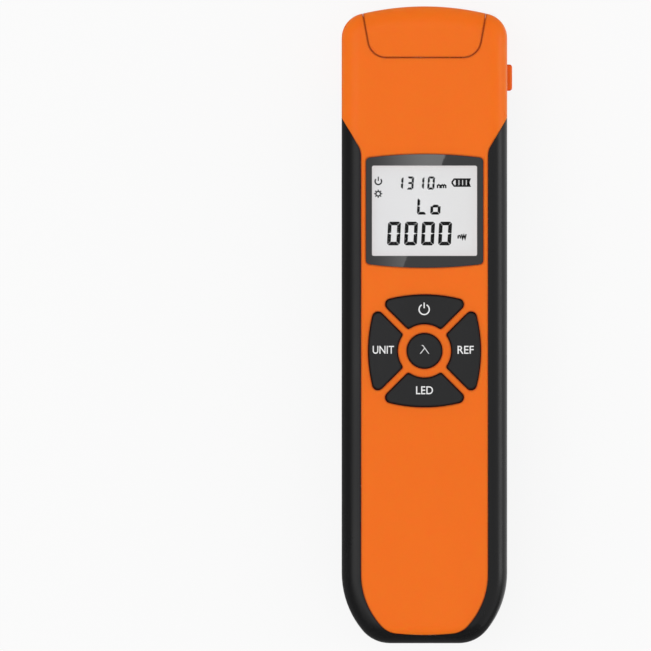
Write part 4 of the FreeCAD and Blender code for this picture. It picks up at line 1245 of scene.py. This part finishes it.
@dataclass
class Display:
    """The window, glass, light guide and holder, with the image on the glass."""

    bezel_side: float = 1.75
    bezel_end: float = 3.305
    opening_lift: float = 0.06
    lens_fit: float = 0.1
    clear_share: float = 0.05
    # Painted light: the field's two tones shade it a hair from left to right, and its glow stands
    # in for the light on the recessed field.
    field_left: Colour = linear(181, 181, 182)
    field_right: Colour = linear(182, 182, 182)
    glow: float = 1.35
    image: DisplayImage = field(default_factory=DisplayImage)

    def build(self) -> None:
        """Makes the image."""
        self.image.build()

    def dress(self) -> None:
        """Finishes the window, glass and holder."""
        low, high = (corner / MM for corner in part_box("display_lens"))
        centre = ((low.x + high.x) / 2, (low.y + high.y) / 2 + self.opening_lift)
        half = ((high.x - low.x) / 2 + self.lens_fit - self.bezel_side,
                (high.y - low.y) / 2 + self.lens_fit - self.bezel_end)
        window = Window("window_finish", centre, half, self.clear_share)
        put_on(window.make(), FRAME["nodes"]["display_lens"])
        glass = DisplayGlass("display_glass_finish", self.field_left, self.field_right,
                             half[0], self.glow)
        put_on(glass.make(), FRAME["nodes"]["lcd_panel"])
        dress(Finishes.LIGHT_GUIDE, "lcd_backlight")
        dress(Finishes.HOLDER, "lcd_frame")
        dress(Finishes.GASKET, "lens_gasket")


# ---- keypad ----------------------------------------------------------------------------------

@dataclass(frozen=True)
class KeyWord:
    """A word printed on a key."""

    key: str
    text: str
    shift: Spot
    size: Spot


@dataclass
class Keypad:
    """Five keys with printed marks, over their mat and switches."""

    ink: float = 0.008
    sink: float = 0.02
    stroke: float = 0.34
    thin_stroke: float = 0.34 * 0.58
    bold: float = 0.008
    ring: float = 1.42
    ring_shift: Spot = (-0.1, 0.70)
    upright: Spot = (0.35, 1.90)
    key_words: tuple[KeyWord, ...] = (
        KeyWord("unit", "UNIT", shift=(-0.62, 0.3), size=(5.9, 2.2)),
        KeyWord("ref", "REF", shift=(0.6, 0.3), size=(4.5, 2.2)),
        KeyWord("lamp", "LED", shift=(0.0, -0.12), size=(4.7, 2.2)),
    )
    lambda_shift: Spot = (0.0, 0.42)
    lambda_size: Spot = (2.5, 2.4)

    def _work(self) -> FlatWork:
        """Flat work that lies in the keys' top face."""
        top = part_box("wavelength_key")[1].z / MM
        return FlatWork(top - self.sink, top + self.ink)

    def _spot(self, key: str, shift: Spot) -> Spot:
        """A spot on a key, seen from the front.

        Args:
            key: Which key.
            shift: Where the spot is from the key's middle.

        Returns:
            The spot.
        """
        low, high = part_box(f"{key}_key")
        return ((low.x + high.x) / 2 / MM + shift[0], (low.y + high.y) / 2 / MM + shift[1])

    def _print(self, key: str, mark: FlatWork) -> None:
        """Puts a mark on its key.

        Args:
            key: Which key.
            mark: The mark's outlines.
        """
        add_piece(f"{key}_mark", mark.raised(f"{key}_mark"), f"{key}_key_cap", Finishes.KEY_PRINT)

    def build(self) -> None:
        """Makes the marks, each on its own key."""
        self._print("power", self._power_mark())
        for word in self.key_words:
            mark = self._work()
            mark.words(word.text, self._spot(word.key, word.shift), word.size, self.bold)
            self._print(word.key, mark)
        self._print("wavelength", self._lambda_mark())

    def _power_mark(self) -> FlatWork:
        """Draws the broken ring with an upright stroke in its gap.

        Returns:
            The mark's outlines.
        """
        x, y = self._spot("power", self.ring_shift)
        mark = self._work()
        mark.arc((x, y), self.ring, start=118, stop=422, width=self.stroke, steps=48)
        mark.stroke([(x, y + end) for end in self.upright], self.stroke)
        return mark

    def _lambda_mark(self) -> FlatWork:
        """Draws the sign for wavelength, of two light strokes.

        Their points are given from -1 to 1 across the sign's size.

        Returns:
            The mark's outlines.
        """
        x, y = self._spot("wavelength", self.lambda_shift)
        wide, tall = self.lambda_size
        mark = self._work()
        for stroke in ([(-0.62, 0.93), (-0.35, 0.90), (-0.12, 0.55), (0.95, -1.0)],
                       [(0.02, 0.28), (-0.95, -1.0)]):
            mark.stroke([(x + across * wide / 2, y + along * tall / 2)
                         for across, along in stroke], self.thin_stroke)
        return mark

    def dress(self) -> None:
        """Finishes the keys, mat and switches."""
        dress(Finishes.KEY_CAP, "power_key", "unit_key", "lamp_key", "ref_key", "wavelength_key")
        dress(Finishes.MAT, "keypad_mat")
        dress(Finishes.SWITCH, "key_switches")


# ---- screws ----------------------------------------------------------------------------------

@dataclass
class CrossScrew:
    """A pan head screw with a cross recess and a threaded shank."""

    head: float
    head_thick: float
    shank: float
    length: float
    sides: int = 48
    dome_steps: int = 6
    flat: float = 0.55
    brim: float = 0.62
    root: float = 0.80
    pitch: float = 0.6
    recess: float = 1.15
    slot: float = 0.48
    depth: float = 0.8

    def mesh(self, name: str) -> bpy.types.Mesh:
        """Makes one screw, its head's seat at the origin and its shank along -Z.

        Args:
            name: The mesh's name.

        Returns:
            The mesh.
        """
        shape = bmesh.new()
        profile = [(0.0, self.head_thick)]
        for step in range(1, self.dome_steps + 1):
            angle = math.radians(90 * step / self.dome_steps)
            profile.append((self.head * (self.flat + (1 - self.flat) * math.sin(angle)),
                            self.head_thick * (self.brim + (1 - self.brim) * math.cos(angle))))
        profile += [(self.head, self.head_thick * 0.12), (self.head * 0.95, 0.0),
                    (self.shank, 0.0)]
        for turn in range(int(self.length / self.pitch)):
            top = -turn * self.pitch - 0.1
            profile += [(self.shank * self.root, top - self.pitch * 0.25),
                        (self.shank, top - self.pitch * 0.5),
                        (self.shank * self.root, top - self.pitch * 0.75)]
        profile.append((0.0, -self.length))
        join_rings(shape, [ring(shape, [radius] * (self.sides if radius else 1), height)
                           for radius, height in profile])
        body = finished(shape, name)
        for turn in (0, 90):
            body = carved(body, self._recess(turn))
        return body

    def _recess(self, turn: float) -> bpy.types.Mesh:
        """Makes one of the two tapered slots that cross in the head.

        Args:
            turn: How far it is turned about the shank, in degrees.

        Returns:
            The closed form of the slot.
        """
        top, foot = self.head_thick + 0.3, self.head_thick - self.depth
        wide, narrow = self.recess, self.slot / 2
        foot_wide, foot_narrow = wide * 0.45, narrow * 0.6
        corners = [(wide, narrow, top), (-wide, narrow, top),
                   (-wide, -narrow, top), (wide, -narrow, top),
                   (foot_wide, foot_narrow, foot), (-foot_wide, foot_narrow, foot),
                   (-foot_wide, -foot_narrow, foot), (foot_wide, -foot_narrow, foot)]
        spin = Matrix.Rotation(math.radians(turn), 3, "Z")
        shape = bmesh.new()
        verts = [shape.verts.new(spin @ (Vector(corner) * MM)) for corner in corners]
        for face in ((0, 1, 2, 3), (7, 6, 5, 4), (0, 4, 5, 1), (1, 5, 6, 2), (2, 6, 7, 3),
                     (3, 7, 4, 0)):
            shape.faces.new([verts[index] for index in face])
        return finished(shape, "recess")

    def joined(self, name: str, places: list[Matrix]) -> bpy.types.Mesh:
        """Makes one mesh of alike screws.

        Args:
            name: The mesh's name.
            places: Where each screw goes, in metres.

        Returns:
            The mesh.
        """
        one = self.mesh(name + "_one")
        shape = bmesh.new()
        for place in places:
            copy = one.copy()
            copy.transform(place)
            shape.from_mesh(copy)
            bpy.data.meshes.remove(copy)
        return finished(shape, name)


@dataclass
class CaseScrews:
    """Four bright screws in the back and the two small ones that hold the port."""

    case: CrossScrew = field(default_factory=lambda: CrossScrew(1.8, 1.5, 1.0, 9.5))
    port: CrossScrew = field(default_factory=lambda: CrossScrew(
        1.3, 0.8, 0.8, 4.15, pitch=0.45, recess=0.82, slot=0.34, depth=0.45))
    first_turn: float = 17.0
    turn_step: float = 31.0
    port_turn: float = 22.0

    def build(self) -> None:
        """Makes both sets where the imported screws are."""
        self._case_set()
        self._port_set()

    def _case_set(self) -> None:
        """The four in the back, each turned as its thread stopped."""
        low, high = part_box("case_screws")
        x = (high.x - low.x) / 2 - self.case.head * MM
        y = (high.y - low.y) / 2 - self.case.head * MM
        seat = low.z + self.case.head_thick * MM
        flip = Matrix.Rotation(math.pi, 4, "X")
        places = []
        for across in (1, -1):
            for along in (1, -1):
                turn = self.first_turn + self.turn_step * (across + 2 * along)
                places.append(Matrix.Translation((x * across, y * along, seat)) @ flip
                              @ Matrix.Rotation(math.radians(turn), 4, "Z"))
        piece = add_piece("case_screw_set", self.case.joined("case_screw_set", places), "case",
                          Finishes.STEEL)
        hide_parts("case_screws")

    def _port_set(self) -> None:
        """The two in the port's flange."""
        low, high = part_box("adaptor_screws")
        x = (high.x - low.x) / 2 - self.port.head * MM
        face = high.y - self.port.head_thick * MM
        tip = Matrix.Rotation(math.radians(-90), 4, "X")
        places = [Matrix.Translation((x * side, face, (low.z + high.z) / 2)) @ tip
                  @ Matrix.Rotation(math.radians(self.port_turn * side), 4, "Z")
                  for side in (1, -1)]
        piece = add_piece("port_screw_set", self.port.joined("port_screw_set", places), "case",
                          Finishes.STEEL)
        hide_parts("adaptor_screws")


# ---- optical port ----------------------------------------------------------------------------

@dataclass
class OpticalPort:
    """The screw-on fibre adaptor: flange, threaded barrel with its keyway, sleeve inside."""

    barrel: float = 4.0
    bore: float = 3.0
    throat: float = 1.75
    flange_thick: float = 1.6
    barrel_length: float = 9.5
    floor: float = 1.4
    pitch: float = 0.75
    thread: float = 0.42
    keyway: float = 2.15
    keyway_depth: float = 3.0
    screw_circle: float = 5.6
    screw_hole: float = 0.84
    steps: int = 72
    thread_steps: int = 10
    run_out: float = 0.7
    edge: float = 0.15
    chamfer: float = 0.25

    def _thread_radius(self, height: float, turn: float) -> float:
        """Works out the thread's radius at one point.

        Args:
            height: Height of the point above the flange seat.
            turn: Its place round the barrel, as a share of a full turn.

        Returns:
            The radius.
        """
        wave = 0.5 + 0.5 * math.cos(2 * math.pi * (height / self.pitch - turn))
        fade = min((self.barrel_length - height) / self.run_out, 1.0)
        return self.barrel - self.thread * (1 - wave ** 0.8 * fade)

    def _tube(self, foot: float) -> bmesh.types.BMesh:
        """Turns the adaptor about Z, with its flange seat at height 0.

        A radius of None in the profile stands for the thread's own.

        Args:
            foot: Height of the end inside the case.

        Returns:
            The work mesh.
        """
        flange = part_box("port_adaptor")[1].x / MM
        shape = bmesh.new()
        profile = [(self.throat, foot), (self.barrel, foot), (self.barrel, 0.0),
                   (flange - self.edge, 0.0), (flange, self.edge),
                   (flange, self.flange_thick - self.chamfer),
                   (flange - self.chamfer, self.flange_thick),
                   (self.barrel - 0.1, self.flange_thick)]
        fine = self.thread_steps
        count = int((self.barrel_length - self.flange_thick - 0.5) / self.pitch * fine)
        profile += [(None, self.flange_thick + 0.3 + step * self.pitch / fine)
                    for step in range(count)]
        profile += [(self.barrel - self.thread - 0.05, self.barrel_length),
                    (self.bore + self.edge, self.barrel_length),
                    (self.bore, self.barrel_length - self.edge), (self.bore, self.floor),
                    (self.throat, self.floor), (self.throat, foot)]
        rings = []
        for radius, height in profile:
            radii = [self._thread_radius(height, step / self.steps) if radius is None else radius
                     for step in range(self.steps)]
            rings.append(ring(shape, radii, height))
        join_rings(shape, rings)
        bmesh.ops.remove_doubles(shape, verts=shape.verts, dist=1e-7)
        return shape

    def _keyway(self) -> bpy.types.Mesh:
        """Makes the block that leaves the keyway when it is cut out of the barrel's end.

        Returns:
            The block.
        """
        tool = bmesh.new()
        bmesh.ops.create_cube(tool, size=1.0, matrix=Matrix.Translation(
            (0, -self.barrel * MM, (self.barrel_length - self.keyway_depth / 2 + 0.5) * MM))
            @ Matrix.Diagonal((self.keyway * MM, 2 * self.barrel * MM * 0.98,
                               (self.keyway_depth + 1) * MM, 1)))
        return finished(tool, "keyway")

    def _screw_hole(self, side: int) -> bpy.types.Mesh:
        """Makes the rod that leaves a screw's hole in the flange.

        Args:
            side: 1 for the right hole and -1 for the left one.

        Returns:
            The rod.
        """
        tool = bmesh.new()
        bmesh.ops.create_cone(tool, cap_ends=True, segments=32, radius1=self.screw_hole * MM,
                              radius2=self.screw_hole * MM, depth=6 * MM,
                              matrix=Matrix.Translation((side * self.screw_circle * MM, 0, 0)))
        return finished(tool, "screw_hole")

    def build(self) -> None:
        """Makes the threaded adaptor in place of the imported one."""
        low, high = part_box("port_adaptor")
        seat = high.y / MM - self.barrel_length
        mesh = finished(self._tube(low.y / MM - seat), "port_adaptor_turned", smooth_below=40)
        mesh = carved(mesh, self._keyway())
        for side in (1, -1):
            mesh = carved(mesh, self._screw_hole(side))
        mesh.transform(Matrix.Translation((0, seat * MM, (low.z + high.z) / 2))
                       @ Matrix.Rotation(math.radians(-90), 4, "X"))
        piece = add_piece("threaded_adaptor", mesh, "case", Finishes.NICKEL)
        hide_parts("port_adaptor")

    def dress(self) -> None:
        """Finishes the sleeve, detector, lamp and pad."""
        dress(Finishes.SLEEVE, "ferrule_sleeve")
        dress(Finishes.CAN, "photodetector")
        dress(Finishes.LAMP, "torch_lamp")
        dress(Finishes.FOAM, "cover_pad")


# ---- housing ---------------------------------------------------------------------------------

@dataclass
class Housing:
    """Orange front and cover, black back, hinge pin and the bare plaque."""

    rule_width: float = 0.28
    rule_left: float = -13.4
    rule_right: float = 10.9
    rule_heights: tuple[float, float] = (42.1, 38.7)
    rule_proud: float = 0.05

    def build(self) -> None:
        """Makes the two thin rules on the plaque, whose ends are given as seen from behind."""
        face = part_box("label_plate")[0].z / MM
        rules = FlatWork(face - self.rule_proud, face + self.rule_proud)
        for height in self.rule_heights:
            rules.stroke([(-self.rule_right, height), (-self.rule_left, height)],
                         self.rule_width)
        add_piece("plaque_rules", rules.raised("plaque_rules"), "case", Finishes.PLAQUE_PRINT)

    def dress(self) -> None:
        """Finishes the shells, cover, pin and plaque."""
        dress(Finishes.ORANGE_SHELL, "front_shell", "dust_cover")
        dress(Finishes.BLACK_SHELL, "rear_shell")
        dress(Finishes.PIN_STEEL, "hinge_pin")
        dress(Finishes.PLATE, "label_plate")


@dataclass
class Inside:
    """Board, battery and socket."""

    def dress(self) -> None:
        """Finishes what the case holds."""
        dress(Finishes.BOARD, "main_board")
        dress(Finishes.STEEL, "board_screws", "charging_socket")
        dress(Finishes.CHIP, "controller_chip")
        dress(Finishes.PLUG, "battery_connector")
        dress(Finishes.CELL, "battery_cell")
        dress(Finishes.FOAM, "battery_pad")


# ---- studio ----------------------------------------------------------------------------------

@dataclass(frozen=True)
class Softbox:
    """One large soft lamp."""

    name: str
    spot: tuple[float, float, float]
    size: Spot
    watts: float

    def build(self) -> None:
        """Hangs the lamp so that it faces the meter."""
        lamp = bpy.data.lights.new(self.name, "AREA")
        lamp.shape = "RECTANGLE"
        lamp.size, lamp.size_y = self.size
        lamp.energy = self.watts
        holder = bpy.data.objects.new(self.name, lamp)
        holder.location = self.spot
        holder.rotation_euler = (-Vector(self.spot)).to_track_quat("-Z", "Y").to_euler()
        bpy.context.scene.collection.objects.link(holder)


def sheet(name: str, rows: list[tuple[Vector, Vector]],
          finish: bpy.types.Material) -> bpy.types.Object:
    """Hangs one thin sheet of the studio, which isn't part of the meter.

    Args:
        name: Its name.
        rows: Its left and right corner at each fold, so that its face looks up.
        finish: Its material.

    Returns:
        The new object.
    """
    shape = bmesh.new()
    verts = [[shape.verts.new(corner) for corner in row] for row in rows]
    for (left, right), (next_left, next_right) in zip(verts, verts[1:]):
        shape.faces.new((left, right, next_right, next_left))
    mesh = bpy.data.meshes.new(name)
    shape.to_mesh(mesh)
    shape.free()
    piece = bpy.data.objects.new(name, mesh)
    bpy.context.scene.collection.objects.link(piece)
    put_on(finish, piece)
    return piece


@dataclass(frozen=True)
class Flag:
    """A dark board out of the camera's sight, which keeps the rounding that mirrors it dark."""

    name: str
    turn: float
    near: float
    far: float
    tall: float
    half: float = 0.5
    low: float = 0.0003

    def build(self, finish: bpy.types.Material) -> None:
        """Lays the board beside the meter and folds it up at its far end.

        Args:
            finish: Its material.
        """
        spin = Matrix.Rotation(math.radians(self.turn), 3, "Z")
        rows = [(spin @ Vector((-self.half, y, z)), spin @ Vector((self.half, y, z)))
                for y, z in ((self.near, self.low), (self.far, self.low), (self.far, self.tall))]
        board = sheet(self.name, rows, finish)
        board.visible_camera = False
        board.visible_diffuse = False
        board.visible_shadow = False


@dataclass
class Studio:
    """Pale floor, soft lamps and the camera straight above."""

    distance: float = 6.0
    view_width: float = 0.1812
    camera_shift: Spot = (-0.0275, -0.0002)
    meter_top: float = 0.0135
    sensor: float = 36.0
    sight: float = 20.0
    pale: float = 0.958
    room: float = 0.77
    floor_half: float = 6.0
    floor_drop: float = 0.0002
    card_rise: float = 0.03
    card_left: float = -0.012
    card_ends: tuple[Spot, Spot] = ((0.011, 0.020), (0.042, 0.102))
    flags: tuple[Flag, ...] = (
        Flag("left_flag", turn=90, near=0.026, far=0.42, tall=0.28),
        Flag("head_flag", turn=0, near=0.092, far=0.50, tall=0.75),
        Flag("foot_flag", turn=180, near=0.092, far=0.50, tall=0.75),
    )
    softboxes: tuple[Softbox, ...] = (
        Softbox("left_box", (-0.74, 0.15, 1.55), (1.15, 1.2), 6.3),
        Softbox("low_box", (1.5, 0.0, 0.24), (0.45, 0.9), 4.0),
    )

    def build(self) -> None:
        """Makes floor, room light, mirror card, flags, lamps and camera."""
        self._floor()
        self._room()
        self._card()
        cloth = DarkCloth("dark_cloth").make()
        for flag in self.flags:
            flag.build(cloth)
        for softbox in self.softboxes:
            softbox.build()
        self._camera()

    def _floor(self) -> None:
        """A wide floor that the meter lies on."""
        half, level = self.floor_half, -self.floor_drop
        rows = [(Vector((-half, y, level)), Vector((half, y, level))) for y in (-half, half)]
        sheet("floor", rows, FloorPaper("floor", (self.pale,) * 3).make())

    def _room(self) -> None:
        """Even light from all round, paler where it is seen."""
        world = bpy.data.worlds.new("room")
        bpy.context.scene.world = world
        world.use_nodes = True
        work = NodeWork(world.node_tree)
        colour = work.blend(work.shows_background(), (self.room,) * 3, (self.pale,) * 3)
        background = work.node("ShaderNodeBackground", {}, {"Color": colour})
        work.node("ShaderNodeOutputWorld", {}, {"Surface": background})

    def _card(self) -> None:
        """A small bright card beside the camera, whose slanted edge the window mirrors."""
        height = self.distance + self.card_rise
        rows = [(Vector((self.card_left, y, height)), Vector((x, y, height)))
                for x, y in self.card_ends]
        card = sheet("mirror_card", rows, CardGlow("mirror_card").make())
        card.visible_camera = False
        card.visible_shadow = False
        card.visible_diffuse = False

    def _camera(self) -> None:
        """A long lens, level with the floor, straight above the meter."""
        camera = bpy.data.cameras.new("camera")
        camera.sensor_width = self.sensor
        camera.lens = camera.sensor_width * self.distance / self.view_width
        camera.clip_end = self.sight
        holder = bpy.data.objects.new("camera", camera)
        holder.location = (*self.camera_shift, self.distance + self.meter_top)
        bpy.context.scene.collection.objects.link(holder)
        bpy.context.scene.camera = holder


# ---- the whole meter -------------------------------------------------------------------------


def main() -> None:
    """Loads the frame, builds every part of the meter's looks and the studio, in order."""
    logging.basicConfig(level=logging.INFO, format="%(name)s: %(message)s")
    FRAME.update(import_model())
    housing = Housing()
    display = Display()
    keypad = Keypad()
    screws = CaseScrews()
    port = OpticalPort()
    for part in (housing, display, keypad, screws, port):
        part.build()
        LOG.info("built %s", type(part).__name__)
    for part in (housing, display, keypad, port, Inside()):
        part.dress()
        LOG.info("dressed %s", type(part).__name__)
    Studio().build()
    bpy.context.scene.view_settings.view_transform = "Standard"


if __name__ == "__main__":
    main()
